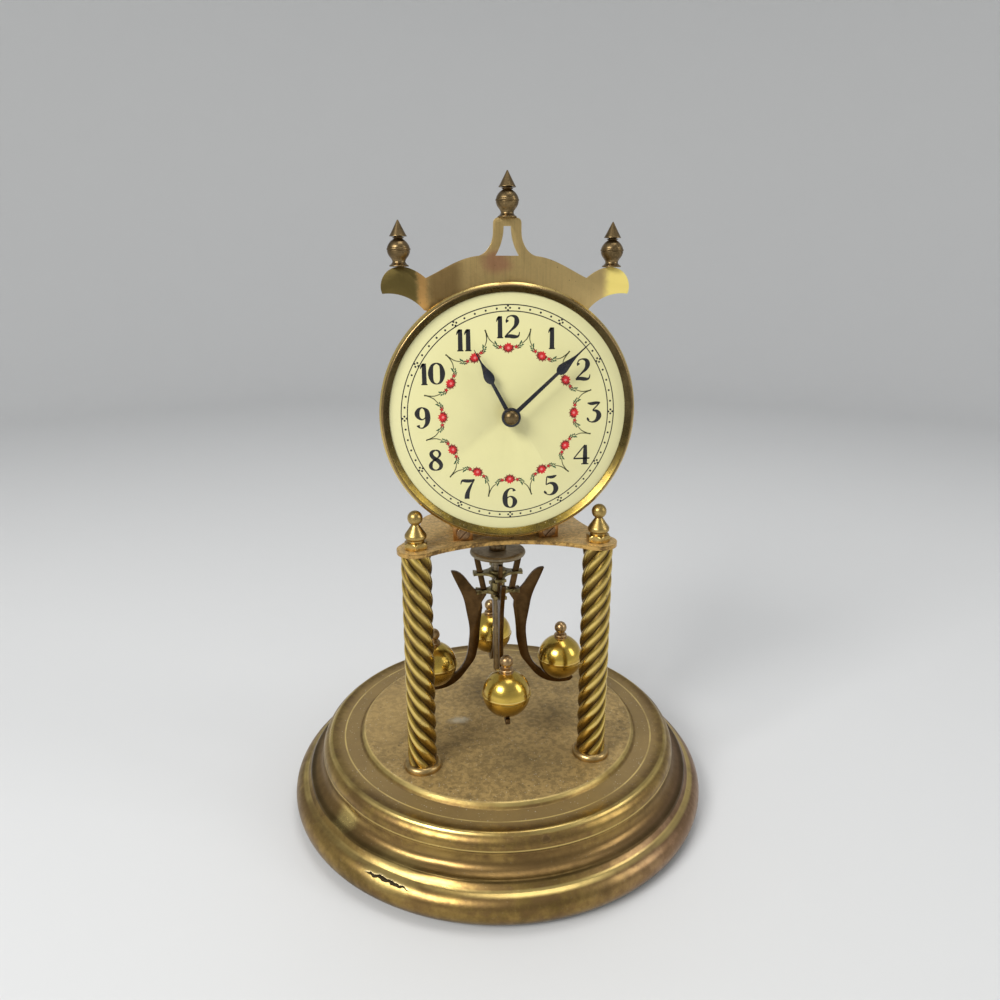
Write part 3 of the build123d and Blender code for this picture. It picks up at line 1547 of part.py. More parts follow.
def pendulum_star():
    """The lower star: split lobes with a riveted pin across each, on the rod."""
    star = Pos(0, 0, star_z - star_thickness / 2) * extrude(
        star_face(star_radius, star_lobe_half_width, star_waist_radius), amount=star_thickness)
    slot_in = arm_pivot_radius_out - lever_width + arm_slot_clearance / 2
    slot = block(2 * star_radius, arm_thickness + 2 * arm_slot_clearance, 2 * star_thickness,
                 base=star_z - star_thickness, x=slot_in + star_radius)
    hub = disc(star_hub_radius, star_hub_above + star_hub_below, base=star_z - star_hub_below)
    pin = Pos(arm_pivot_radius_out, 0, star_z) * Rot(90, 0, 0) * Cylinder(arm_pin_radius,
                                                                         2 * star_lobe_half_width - 2 * shift_gap)
    for k in range(arm_count):
        star -= Rot(0, 0, 360 * k / arm_count) * slot
    star += hub
    for k in range(arm_count):
        star += Rot(0, 0, 360 * k / arm_count) * pin
    return star - disc(pendulum_rod_radius + seat_clearance, 2 * star_z)


def arm_blade():
    """One flat arm in the (out, up) plane: lever, pivot, horn, bowed shank and the shelf under the ball."""
    def points(shares):
        return scaled(shares, arm_reach, arm_drop, arm_pivot_radius_out, star_z)

    half = lever_width / 2
    lever_top = star_z + lever_height
    root_z = star_z + lever_root_rise
    shelf = ball_z - ball_radius + ball_flat
    wrap = ball_radius + ball_wrap_gap
    wrap_start = polar(wrap, arm_wrap_start_angle, ball_out, ball_z)
    wrap_middle = polar(wrap, arm_wrap_middle_angle, ball_out, ball_z)
    shelf_in = ball_out - math.sqrt(wrap ** 2 - (ball_z - shelf) ** 2)
    tip = (ball_out + arm_tip_reach, shelf - arm_tip_drop_share * arm_under_ball)
    rounding = arm_tip_round_share * arm_under_ball
    shelf_out = ball_out + arm_shelf_share * arm_tip_reach
    toe = (ball_out + arm_toe_shares[0] * arm_tip_reach, shelf - arm_toe_shares[1] * arm_under_ball)
    root = points(blade_root_shares)
    horn = points(blade_tip_shares)
    outer = points(blade_outer_shares)
    inner = points(blade_inner_shares)
    heel = points(blade_heel_shares)
    face = outline(
        (lever_top_out - half, lever_top),
        (lever_top_out + half, lever_top),
        (lever_root_out + half, root_z),
        root[0],
        [root[1], root[2], horn[0], horn[1]],
        [outer[0], outer[1], outer[2], outer[3], outer[4], outer[5], outer[6], outer[7], wrap_start],
        (wrap_middle, (shelf_in, shelf)),
        (shelf_out, shelf),
        ((tip[0] - rounding, shelf - rounding), tip),
        toe,
        inner,
        heel[0],
        heel[1],
        heel[2],
    )
    return face


def arm(k):
    """An arm stands in the upright plane through the axis and turns about its pin."""
    blade = upright(arm_blade(), -arm_thickness / 2, arm_thickness / 2)
    blade -= rod(arm_pin_radius + running_clearance, -star_radius, star_radius, arm_pivot_radius_out, star_z)
    shelf = ball_z - ball_radius + ball_flat
    blade -= disc(stud_radius + seat_clearance, stud_tail + cut_overrun, base=shelf - stud_tail, x=ball_out)
    return Rot(0, 0, 360 * k / arm_count) * blade


def ball_group(k):
    """A ball with its seam, the stud through it and the turned cap on top."""
    shelf = ball_z - ball_radius + ball_flat
    ball = Pos(ball_out, 0, ball_z) * Sphere(ball_radius)
    ball -= block(3 * ball_radius, 3 * ball_radius, ball_radius, base=shelf - ball_radius, x=ball_out)
    seam = Pos(ball_out, 0, ball_z) * (Cylinder(2 * ball_radius, ball_seam_width)
                                       - Cylinder(ball_radius - ball_seam_depth, 2 * ball_seam_width))
    top = ball_z + math.sqrt(ball_radius ** 2 - ball_collar_radius ** 2)
    ball -= block(3 * ball_radius, 3 * ball_radius, ball_radius, base=top, x=ball_out)
    cap_top = top + ball_collar_height + ball_neck_height + ball_cap_radius
    ball = ball - seam - disc(stud_radius + seat_clearance, 3 * ball_radius, base=shelf, x=ball_out)
    stud_bottom = shelf - stud_tail + stud_end_gap
    stud = disc(stud_radius, cap_top - stud_bottom, base=stud_bottom, x=ball_out)
    neck_top = ball_collar_height + ball_neck_height
    cap_centre = neck_top + math.sqrt(ball_cap_radius ** 2 - ball_neck_radius ** 2)
    section = outline(
        (0, 0),
        (ball_collar_radius, 0),
        (ball_collar_radius, ball_collar_height),
        (ball_neck_radius, ball_collar_height),
        (ball_neck_radius, neck_top),
        ((ball_cap_radius, cap_centre), (0, cap_centre + ball_cap_radius)),
    )
    cap = turned(section) - disc(stud_radius + seat_clearance, cap_top - top + seat_clearance)
    cap = Pos(ball_out, 0, top) * cap
    return [Rot(0, 0, 360 * k / arm_count) * piece for piece in (ball, stud, cap)]


def build():
    """Every sub-component by its node name."""
    nodes = {
        "base_shell": base_shell(),
        "deck_plate": [deck_plate()] + bottom_spacers(),
        "bottom_plate": bottom_plate(),
        "pillar_left": twisted_pillar(-1),
        "pillar_right": twisted_pillar(1),
        "pillar_foot_flanges": [foot_flange(-1), foot_flange(1)],
        "tie_rods": [tie_rod(-1), tie_rod(1)],
        "base_fasteners": base_screws() + [tie_nut(-1), tie_washer(-1), tie_nut(1), tie_washer(1)],
        "pillar_caps": [pillar_cap(-1), pillar_cap(1)],
        "platform": platform(),
        "front_plate": front_plate(),
        "back_plate": back_plate(),
        "movement_pillars": movement_pillars(),
        "movement_screws": movement_screws() + platform_screws(),
        "small_screws": small_screws(),
        "barrel": barrel(),
        "barrel_cap": barrel_cap(),
        "mainspring": mainspring(),
        "winding_arbor": winding_arbor(),
        "ratchet_wheel": ratchet_wheel(),
        "click": click(),
        "click_spring": click_spring(),
        "first_wheel": first_wheel(),
        "second_wheel": second_wheel(),
        "centre_wheel": [centre_wheel(), centre_arbor()],
        "escape_wheel": escape_wheel(),
        "anchor": anchor(),
        "anchor_cock": anchor_cock(),
        "cannon_pinion": cannon_pinion(),
        "minute_wheel": minute_wheel(),
        "hour_wheel": hour_wheel(),
        "dial": dial(),
        "front_posts": dial_posts() + [minute_post()],
        "bezel": bezel(),
        "hour_hand": hour_hand(),
        "minute_hand": minute_hand(),
        "hand_nut": hand_nut(),
        "fret": fret(),
        "fret_finials": [finial(x, z) for x, z in finial_places()],
        "suspension_bracket": suspension_bracket(),
        "suspension_top_block": suspension_top_block(),
        "suspension_strip": suspension_strip(),
        "suspension_fork": suspension_fork(),
        "suspension_bottom_block": suspension_bottom_block(),
        "pendulum_hook": pendulum_hook(),
        "pendulum_rod": pendulum_rod(),
        "regulating_disc": regulating_disc(),
        "star_nut": star_nut(),
        "pendulum_star": pendulum_star(),
    }
    for name, angle in levelling_angles.items():
        nodes["levelling_screw_" + name] = levelling_screw(angle)
    for k, name in enumerate(arm_names):
        nodes["pendulum_arm_" + name] = arm(k)
        nodes["ball_" + name] = ball_group(k)
    return nodes


def main():
    os.makedirs("parts", exist_ok=True)
    for name, piece in build().items():
        solids = piece if isinstance(piece, list) else [piece]
        export_step(Compound(children=solids) if len(solids) > 1 else solids[0], "parts/" + name + ".step")
        print(name, len(solids))


if __name__ == "__main__":
    main()
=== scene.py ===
import math

import bmesh
import bpy
from mathutils import Matrix, Vector


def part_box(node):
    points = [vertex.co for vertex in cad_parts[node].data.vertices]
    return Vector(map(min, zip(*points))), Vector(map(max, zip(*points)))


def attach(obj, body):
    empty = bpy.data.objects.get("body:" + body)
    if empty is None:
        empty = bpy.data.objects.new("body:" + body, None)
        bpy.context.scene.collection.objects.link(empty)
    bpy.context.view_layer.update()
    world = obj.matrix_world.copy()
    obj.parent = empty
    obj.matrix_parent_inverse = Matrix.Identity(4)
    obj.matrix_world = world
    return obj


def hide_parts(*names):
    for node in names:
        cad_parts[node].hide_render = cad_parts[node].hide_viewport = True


bl_info = {
    "name": "Torsion pendulum clock",
    "version": (1, 0, 0),
    "blender": (4, 5, 0),
    "location": "View3D > Sidebar > Clock",
    "description": "Builds the clock's visible pieces and finishes over its packed frame",
    "category": "Add Mesh",
}

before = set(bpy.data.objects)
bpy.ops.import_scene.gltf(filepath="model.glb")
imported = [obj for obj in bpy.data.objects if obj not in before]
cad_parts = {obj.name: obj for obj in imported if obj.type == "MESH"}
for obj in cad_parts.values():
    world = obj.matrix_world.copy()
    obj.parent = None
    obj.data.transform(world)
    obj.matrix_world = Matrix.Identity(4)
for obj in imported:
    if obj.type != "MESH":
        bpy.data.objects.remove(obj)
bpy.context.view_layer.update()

# Places read off the frame
base_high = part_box("base_shell")[1]
rim_radius = base_high.x
deck_height = base_high.z
dial_low, dial_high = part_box("dial")
dial_radius = (dial_high.x - dial_low.x) / 2
bezel_reach = (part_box("bezel")[1].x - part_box("bezel")[0].x) / 2
dial_face = dial_low.y
dial_z = (dial_low.z + dial_high.z) / 2
pillar_low, pillar_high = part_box("pillar_right")
pillar_x = (pillar_low.x + pillar_high.x) / 2
pillar_y = (pillar_low.y + pillar_high.y) / 2
disc_low, disc_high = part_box("regulating_disc")
ball_low, ball_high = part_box("ball_right")

# Outlines for turning, as shares of the piece's own radius and height
base_profile_shares = (
    (0.0, 1.0), (0.6591, 1.0), (0.6838, 0.9324), (0.7495, 0.9324), (0.8244, 0.9559), (0.8624, 0.7676),
    (0.8552, 0.7471), (0.9220, 0.5265), (0.9431, 0.4309),
)
base_fillet_shares = (0.0, 0.007, 0.004, 0.006, 0.012, 0.003, 0.003, 0.0015, 0.0)
base_bulge_shares = {4: -0.0082, 6: 0.0226}
rim_tube_share = 0.0719
rim_centre_share = (0.9281, 0.2294)
rim_flange_share = 0.8624
shell_wall_share = 0.0103

finial_width_share = 1.10
finial_profile_shares = (
    (0.192, 0.0), (0.200, 0.010), (0.196, 0.028), (0.168, 0.048), (0.143, 0.078), (0.134, 0.108),
    (0.141, 0.140), (0.163, 0.178), (0.190, 0.215), (0.212, 0.255), (0.228, 0.300), (0.2335, 0.335),
    (0.2290, 0.343), (0.2290, 0.349), (0.2420, 0.357), (0.2420, 0.388), (0.2290, 0.396), (0.2290, 0.402),
    (0.2300, 0.412), (0.216, 0.452), (0.192, 0.496), (0.158, 0.540), (0.118, 0.574), (0.094, 0.592),
    (0.090, 0.602), (0.112, 0.608), (0.118, 0.616), (0.112, 0.624), (0.088, 0.630), (0.088, 0.640),
    (0.160, 0.645), (0.176, 0.652), (0.176, 0.662), (0.166, 0.672), (0.012, 0.994),
)
cap_profile_shares = (
    (0.0, 0.0), (0.62, 0.0), (0.72, 0.05), (0.72, 0.25), (0.86, 0.27), (0.92, 0.30), (0.92, 0.36),
    (0.86, 0.40),
)
cap_ball_share = 0.685
cap_throat_share = 0.337
cap_nut_share = 0.184
cap_width_share = 1.08
flange_profile_shares = (
    (0.0, 0.0), (1.0, 0.0), (1.0, 0.45), (0.96, 0.72), (0.88, 0.92), (0.80, 1.0), (0.0, 1.0),
)
disc_profile_shares = (
    (0.0, 1.0), (0.88, 1.0), (0.955, 0.93), (0.99, 0.72), (1.0, 0.5), (0.985, 0.28), (0.94, 0.08),
    (0.86, 0.0),
)
hand_nut_profile_shares = (
    (0.0, 0.0), (1.0, 0.0), (1.0, 0.22), (0.93, 0.46), (0.74, 0.72), (0.45, 0.92), (0.0, 1.0),
)
bezel_inner_share = 0.9257
bezel_wall_share = 0.020

# Sizes on the pendulum, as shares of the disc's and the balls' radius
disc_thickness_share = 0.211
disc_sleeve_share = 0.203
ball_seat_share = 0.34
ball_lip_share = 0.045
ball_cap_foot_share = 0.953
ball_cap_bead_share = 0.288
ball_cap_knob_share = 0.2736

# Knocks in the rim: degrees round, their spread, height, its spread, share of the depth
rim_knocks = (
    (-124.5, 8.5, 0.0135, 0.0055, 1.0), (-146.0, 5.0, 0.0215, 0.0050, 0.8),
    (-112.0, 3.5, 0.0200, 0.0060, 0.35), (-62.0, 9.0, 0.0120, 0.0050, 0.25),
)
knock_free_radius = 0.070
knock_sink_share = 0.35

# The stud below a ball's flat, and the flat's depth, from the frame's ball and arm
stud_tail = 0.00197
ball_flat = 0.0005

# Corners of a CAD mesh that are nearer than this are one
weld_distance = 1e-6

# The camera's place, the way it looks and its lens in mm
camera_place = (-0.04073, -0.32405, 0.23783)
camera_way = (0.1230, 0.9532, -0.2761)
camera_lens = 27.155

# Places on the dial, as shares of its radius
dial_turn = math.radians(-0.8)
numeral_ring_share = 0.690
cross_ring_share = 0.831
ring_shares = (0.856, 0.8075)
ring_line_share = 0.0078
blossom_ring_share = 0.531
cusp_ring_share = 0.682
dot_share = 0.0082
cross_reach_share = 0.0163
stroke_weight = 1.55
numeral_height_share = 0.172
print_thickness_share = 0.0006

# Pen strokes of the dial's figures: (across, up, half width) in shares of the figure's height
figure_strokes_shares = {
    "0": [[(0.28, 0.97, 0.016), (0.14, 0.85, 0.045), (0.085, 0.5, 0.078), (0.14, 0.15, 0.045),
           (0.28, 0.03, 0.016), (0.42, 0.15, 0.045), (0.475, 0.5, 0.078), (0.42, 0.85, 0.045),
           (0.28, 0.97, 0.016)]],
    "1": [[(0.24, 0.02, 0.068), (0.24, 0.5, 0.066), (0.24, 0.96, 0.060)],
          [(0.25, 0.93, 0.030), (0.17, 0.89, 0.032), (0.11, 0.81, 0.022), (0.08, 0.72, 0.010)],
          [(0.10, 0.018, 0.018), (0.24, 0.018, 0.018), (0.38, 0.018, 0.018)]],
    "2": [[(0.15, 0.70, 0.046), (0.13, 0.74, 0.050), (0.11, 0.78, 0.018), (0.16, 0.92, 0.018),
           (0.29, 0.975, 0.022), (0.42, 0.90, 0.056), (0.455, 0.72, 0.074), (0.40, 0.52, 0.050),
           (0.26, 0.33, 0.026), (0.13, 0.15, 0.022), (0.07, 0.05, 0.024)],
          [(0.06, 0.035, 0.022), (0.20, 0.080, 0.052), (0.36, 0.055, 0.055), (0.48, 0.06, 0.034),
           (0.53, 0.14, 0.020), (0.545, 0.26, 0.012)]],
    "3": [[(0.07, 0.93, 0.018), (0.20, 0.90, 0.046), (0.36, 0.93, 0.046), (0.50, 0.955, 0.016)],
          [(0.49, 0.94, 0.020), (0.38, 0.77, 0.020), (0.26, 0.60, 0.020)],
          [(0.25, 0.575, 0.018), (0.38, 0.55, 0.045), (0.465, 0.42, 0.072), (0.465, 0.26, 0.076),
           (0.38, 0.09, 0.048), (0.24, 0.025, 0.020), (0.12, 0.09, 0.020), (0.10, 0.17, 0.046),
           (0.12, 0.20, 0.046)]],
    "4": [[(0.42, 0.95, 0.016), (0.25, 0.65, 0.020), (0.06, 0.31, 0.018)],
          [(0.04, 0.29, 0.024), (0.30, 0.29, 0.024), (0.58, 0.29, 0.024)],
          [(0.43, 0.02, 0.066), (0.43, 0.5, 0.066), (0.43, 0.94, 0.050)],
          [(0.31, 0.018, 0.018), (0.43, 0.018, 0.018), (0.55, 0.018, 0.018)]],
    "5": [[(0.14, 0.93, 0.022), (0.28, 0.90, 0.046), (0.40, 0.93, 0.042), (0.49, 0.985, 0.012)],
          [(0.14, 0.93, 0.018), (0.125, 0.74, 0.018), (0.115, 0.54, 0.018)],
          [(0.115, 0.53, 0.016), (0.26, 0.61, 0.030), (0.41, 0.54, 0.062), (0.475, 0.34, 0.080),
           (0.41, 0.13, 0.056), (0.26, 0.028, 0.020), (0.13, 0.08, 0.018), (0.09, 0.16, 0.046),
           (0.11, 0.19, 0.046)]],
    "6": [[(0.44, 0.83, 0.046), (0.43, 0.87, 0.046), (0.38, 0.955, 0.018), (0.26, 0.95, 0.024),
           (0.13, 0.76, 0.060), (0.095, 0.48, 0.080), (0.13, 0.18, 0.064), (0.27, 0.03, 0.018),
           (0.40, 0.10, 0.046), (0.465, 0.30, 0.074), (0.41, 0.49, 0.046), (0.28, 0.575, 0.018),
           (0.16, 0.47, 0.018)]],
    "7": [[(0.07, 0.74, 0.012), (0.09, 0.86, 0.020), (0.14, 0.92, 0.040), (0.26, 0.90, 0.052),
           (0.40, 0.90, 0.046), (0.52, 0.965, 0.016)],
          [(0.51, 0.95, 0.018), (0.41, 0.70, 0.034), (0.31, 0.40, 0.058), (0.27, 0.18, 0.074),
           (0.265, 0.02, 0.076)]],
    "8": [[(0.27, 0.98, 0.018), (0.15, 0.91, 0.044), (0.115, 0.78, 0.058), (0.19, 0.62, 0.060),
           (0.36, 0.46, 0.066), (0.45, 0.27, 0.060), (0.41, 0.10, 0.044), (0.27, 0.02, 0.018),
           (0.13, 0.09, 0.040), (0.085, 0.25, 0.058), (0.15, 0.43, 0.034), (0.29, 0.56, 0.018),
           (0.39, 0.68, 0.030), (0.42, 0.80, 0.040), (0.37, 0.93, 0.030), (0.27, 0.98, 0.018)]],
}
figure_strokes_shares["9"] = [[(0.56 - x, 1.0 - y, w) for x, y, w in stroke]
                              for stroke in figure_strokes_shares["6"]]
# Each figure's middle in its strokes, how much it is widened, and the room it takes
figure_widths_shares = {
    "0": (0.28, 1.38, 0.74), "1": (0.235, 1.0, 0.33), "2": (0.30, 1.38, 0.72), "3": (0.28, 1.38, 0.72),
    "4": (0.31, 1.45, 0.86), "5": (0.30, 1.34, 0.72), "6": (0.28, 1.30, 0.72), "7": (0.30, 1.46, 0.74),
    "8": (0.27, 1.32, 0.72), "9": (0.28, 1.30, 0.72),
}
figure_gap_share = 0.03

# Leaves on one side of a blossom: (across, up, turn, size), the first two as shares of the dial's radius
leaf_shares = (
    (0.083, 0.546, 0.3, 1.0), (0.090, 0.531, -0.5, 1.0), (0.094, 0.560, 1.3, 1.1),
    (0.100, 0.541, -0.1, 1.0), (0.103, 0.573, 1.5, 1.1), (0.113, 0.551, 0.2, 1.0),
)

origin = (0.0, 0.0, 0.0)
black = (0, 0, 0)
white = (1, 1, 1)


def length_property(name, description, default, **limits):
    return bpy.props.FloatProperty(name=name, description=description, default=default, unit="LENGTH",
                                   **limits)


def colour_property(name, description, default):
    return bpy.props.FloatVectorProperty(name=name, description=description, subtype="COLOR",
                                         default=default)


class ClockSizes(bpy.types.PropertyGroup):
    """Sizes of the clock's pieces that a user may change."""

    bevel: length_property("Edge bevel", "Width of the broken edge on cut plates", 0.00018, min=0)
    strands: bpy.props.IntProperty(
        name="Strands", description="Number of rope strands on each pillar", default=6, min=2)
    pillar_radius: length_property(
        "Pillar radius", "Radius over the strands of a pillar", (pillar_high.x - pillar_low.x) / 2)
    pillar_valley: length_property(
        "Pillar valley", "Radius at the bottom of the grooves between strands",
        (pillar_high.x - pillar_low.x) / 2 * 0.842)
    pillar_pitch: length_property("Twist pitch", "Height in which a strand goes once round", 0.043)
    numeral_height: length_property(
        "Figure height", "Height of the dial's figures", dial_radius * numeral_height_share)
    dent_depth: length_property("Dent depth", "Depth of the knock in the base's rim", 0.0011)


class ClockColours(bpy.types.PropertyGroup):
    """Colours of the clock's finishes that a user may change."""

    olive: colour_property("Olive brass", "Aged lacquered brass of the base", (0.390, 0.255, 0.078))
    worn: colour_property("Worn brass", "Brass rubbed bright on its ridges", (0.860, 0.650, 0.225))
    mauve: colour_property("Mauve brass", "Tarnish on the base's right side", (0.330, 0.200, 0.130))
    dust: colour_property("Dust", "Settled dust on the deck", (0.440, 0.300, 0.112))
    gold: colour_property("Gold lacquer", "Lacquered brass of the balls and pillars", (0.640, 0.440, 0.080))
    satin: colour_property("Satin brass", "Brushed brass of the fret", (0.540, 0.375, 0.150))
    copper: colour_property("Copper tan", "Speckled tan of the platform", (0.660, 0.440, 0.165))
    bronze: colour_property("Antique bronze", "Dark brass of the finials", (0.270, 0.185, 0.085))
    dark_bronze: colour_property("Dark bronze", "Patina of the pendulum's arms", (0.105, 0.058, 0.022))
    enamel: colour_property("Enamel", "Cream enamel of the dial", (0.765, 0.715, 0.350))
    ink: colour_property("Ink", "Black print of the dial", (0.012, 0.011, 0.012))
    blossom: colour_property("Blossom", "Red of the garland's flowers", (0.660, 0.014, 0.018))
    leaf: colour_property("Leaf", "Green of the garland's leaves", (0.035, 0.105, 0.040))
    floor: colour_property("Floor", "Pale floor and backdrop", (0.72, 0.72, 0.71))


def sizes():
    return bpy.context.scene.clock_sizes


def colours():
    return bpy.context.scene.clock_colours


# Node helpers

def node(tree, kind, inputs=None, **settings):
    """Adds a node. An input is a value, or a socket to link from."""
    made = tree.nodes.new(kind)
    for key, value in settings.items():
        setattr(made, key, value)
    for key, value in (inputs or {}).items():
        if isinstance(value, bpy.types.NodeSocket):
            tree.links.new(value, made.inputs[key])
        else:
            made.inputs[key].default_value = value
    return made


def calc(tree, operation, first, second=0.0, third=0.0, clamp=False):
    """One Math node's output."""
    return node(tree, "ShaderNodeMath", {0: first, 1: second, 2: third}, operation=operation,
                use_clamp=clamp).outputs[0]


def vector_calc(tree, operation, first, second=origin, output=0):
    return node(tree, "ShaderNodeVectorMath", {0: first, 1: second}, operation=operation).outputs[output]


def blend_colours(tree, share, low, high):
    """A Mix node in colour, whose colours may be values or sockets."""
    low, high = (value if isinstance(value, bpy.types.NodeSocket) else (*tuple(value)[:3], 1)
                 for value in (low, high))
    return node(tree, "ShaderNodeMix", {0: share, 6: low, 7: high}, data_type="RGBA").outputs[2]


def blend_values(tree, share, low, high):
    """A Mix node in numbers."""
    return node(tree, "ShaderNodeMix", {0: share, 2: low, 3: high}).outputs[0]


def spread(tree, value, low, high, to_low=0.0, to_high=1.0, smooth=True):
    """Maps a value from one range to another, with soft ends."""
    return node(tree, "ShaderNodeMapRange", {0: value, 1: low, 2: high, 3: to_low, 4: to_high},
                interpolation_type="SMOOTHSTEP" if smooth else "LINEAR").outputs[0]


def noise(tree, vector, scale, detail, roughness=0.5, distortion=0.0):
    return node(tree, "ShaderNodeTexNoise", {"Vector": vector, "Scale": scale, "Detail": detail,
                                             "Roughness": roughness, "Distortion": distortion}).outputs[0]


def group(name, inputs, outputs):
    """A shader group. An input's kind follows from its default, and every output but Color is a number."""
    tree = bpy.data.node_groups.new(name, "ShaderNodeTree")
    for label, value in inputs.items():
        kind = "Float" if isinstance(value, float) else "Color" if len(value) == 4 else "Vector"
        socket = tree.interface.new_socket(label, in_out="INPUT", socket_type="NodeSocket" + kind)
        socket.default_value = value
    for label in outputs:
        kind = "Color" if label == "Color" else "Float"
        tree.interface.new_socket(label, in_out="OUTPUT", socket_type="NodeSocket" + kind)
    return tree, tree.nodes.new("NodeGroupInput").outputs, tree.nodes.new("NodeGroupOutput").inputs


def give(tree, out, **sockets):
    """Links the results of a group to its outputs."""
    for name, socket in sockets.items():
        tree.links.new(socket, out[name])


def use_group(tree, name, inputs):
    """Places a shared effect in a material."""
    return node(tree, "ShaderNodeGroup", inputs, node_tree=bpy.data.node_groups[name]).outputs


# Shared effects

def tarnish_group():
    """Cloudy two-tone tarnish in two sizes, with a finer mottle over it."""
    tree, inp, out = group("tarnish", {
        "Vector": origin, "Scale": 60.0, "Balance": 0.5, "Softness": 0.12,
        "Light": (1, 1, 1, 1), "Dark": (0, 0, 0, 1)}, ("Color", "Mask", "Height"))
    broad = noise(tree, inp["Vector"], inp["Scale"], 5.0, 0.6, 0.4)
    fine = noise(tree, inp["Vector"], calc(tree, "MULTIPLY", inp["Scale"], 7.3), 3.0, 0.65)
    low = calc(tree, "SUBTRACT", inp["Balance"], inp["Softness"])
    high = calc(tree, "ADD", inp["Balance"], inp["Softness"])
    mask = spread(tree, blend_values(tree, 0.32, broad, fine), low, high)
    give(tree, out, Color=blend_colours(tree, mask, inp["Light"], inp["Dark"]), Mask=mask, Height=fine)


def specks_group():
    """Scattered round specks of uneven size, as a mask."""
    tree, inp, out = group("specks", {
        "Vector": origin, "Scale": 400.0, "Density": 0.3, "Size": 0.3}, ("Mask",))
    cells = node(tree, "ShaderNodeTexVoronoi", {"Vector": inp["Vector"], "Scale": inp["Scale"],
                                               "Randomness": 1.0}).outputs
    chance = node(tree, "ShaderNodeSeparateColor", {0: cells["Color"]}).outputs
    present = calc(tree, "LESS_THAN", chance[0], inp["Density"])
    radius = calc(tree, "MULTIPLY", inp["Size"], chance[1])
    dot = spread(tree, cells["Distance"], calc(tree, "MULTIPLY", radius, 0.55), radius, 1.0, 0.0)
    give(tree, out, Mask=calc(tree, "MULTIPLY", dot, present))


def brushed_group():
    """Fine parallel lines: noise stretched along one direction."""
    tree, inp, out = group("brushed", {
        "Vector": origin, "Stretch": (900.0, 900.0, 12.0), "Amount": 1.0}, ("Height", "Mask"))
    stretched = vector_calc(tree, "MULTIPLY", inp["Vector"], inp["Stretch"])
    lines = noise(tree, stretched, 1.0, 4.0, 0.7)
    give(tree, out, Height=calc(tree, "MULTIPLY", lines, inp["Amount"]),
         Mask=spread(tree, lines, 0.46, 0.66))


def band_group():
    """A soft band round one value, broken up by noise."""
    tree, inp, out = group("band", {
        "Value": 0.0, "Centre": 0.0, "Width": 0.001, "Vector": origin, "Break up": 0.5,
        "Scale": 90.0}, ("Mask",))
    away = calc(tree, "ABSOLUTE", calc(tree, "SUBTRACT", inp["Value"], inp["Centre"]))
    near = calc(tree, "MULTIPLY", inp["Width"], 0.3)
    band = spread(tree, away, near, inp["Width"], 1.0, 0.0)
    kept = spread(tree, noise(tree, inp["Vector"], inp["Scale"], 4.0, 0.6), 0.36, 0.62)
    broken = blend_values(tree, inp["Break up"], 1.0, kept)
    give(tree, out, Mask=calc(tree, "MULTIPLY", band, broken))


def patch_group():
    """A ragged patch round one point, with a ring along its edge for a tide line."""
    tree, inp, out = group("patch", {
        "Vector": origin, "Centre": origin, "Stretch": (1.0, 1.0, 1.0), "Radius": 0.01,
        "Softness": 0.2, "Ragged": 0.3, "Scale": 120.0}, ("Mask", "Edge"))
    moved = vector_calc(tree, "SUBTRACT", inp["Vector"], inp["Centre"])
    reach = vector_calc(tree, "LENGTH", vector_calc(tree, "MULTIPLY", moved, inp["Stretch"]), output=1)
    cloud = noise(tree, inp["Vector"], inp["Scale"], 5.0, 0.65)
    wander = calc(tree, "MULTIPLY_ADD", cloud, inp["Ragged"], calc(tree, "MULTIPLY", inp["Ragged"], -0.5))
    share = calc(tree, "ADD", calc(tree, "DIVIDE", reach, inp["Radius"]), wander)
    inner = calc(tree, "SUBTRACT", 1.0, inp["Softness"])
    off_edge = calc(tree, "ABSOLUTE", calc(tree, "SUBTRACT", share, inner))
    edge = spread(tree, off_edge, 0.0, calc(tree, "MULTIPLY", inp["Softness"], 0.6), 1.0, 0.0)
    give(tree, out, Mask=spread(tree, share, inner, 1.0, 1.0, 0.0), Edge=edge)


# Finishes

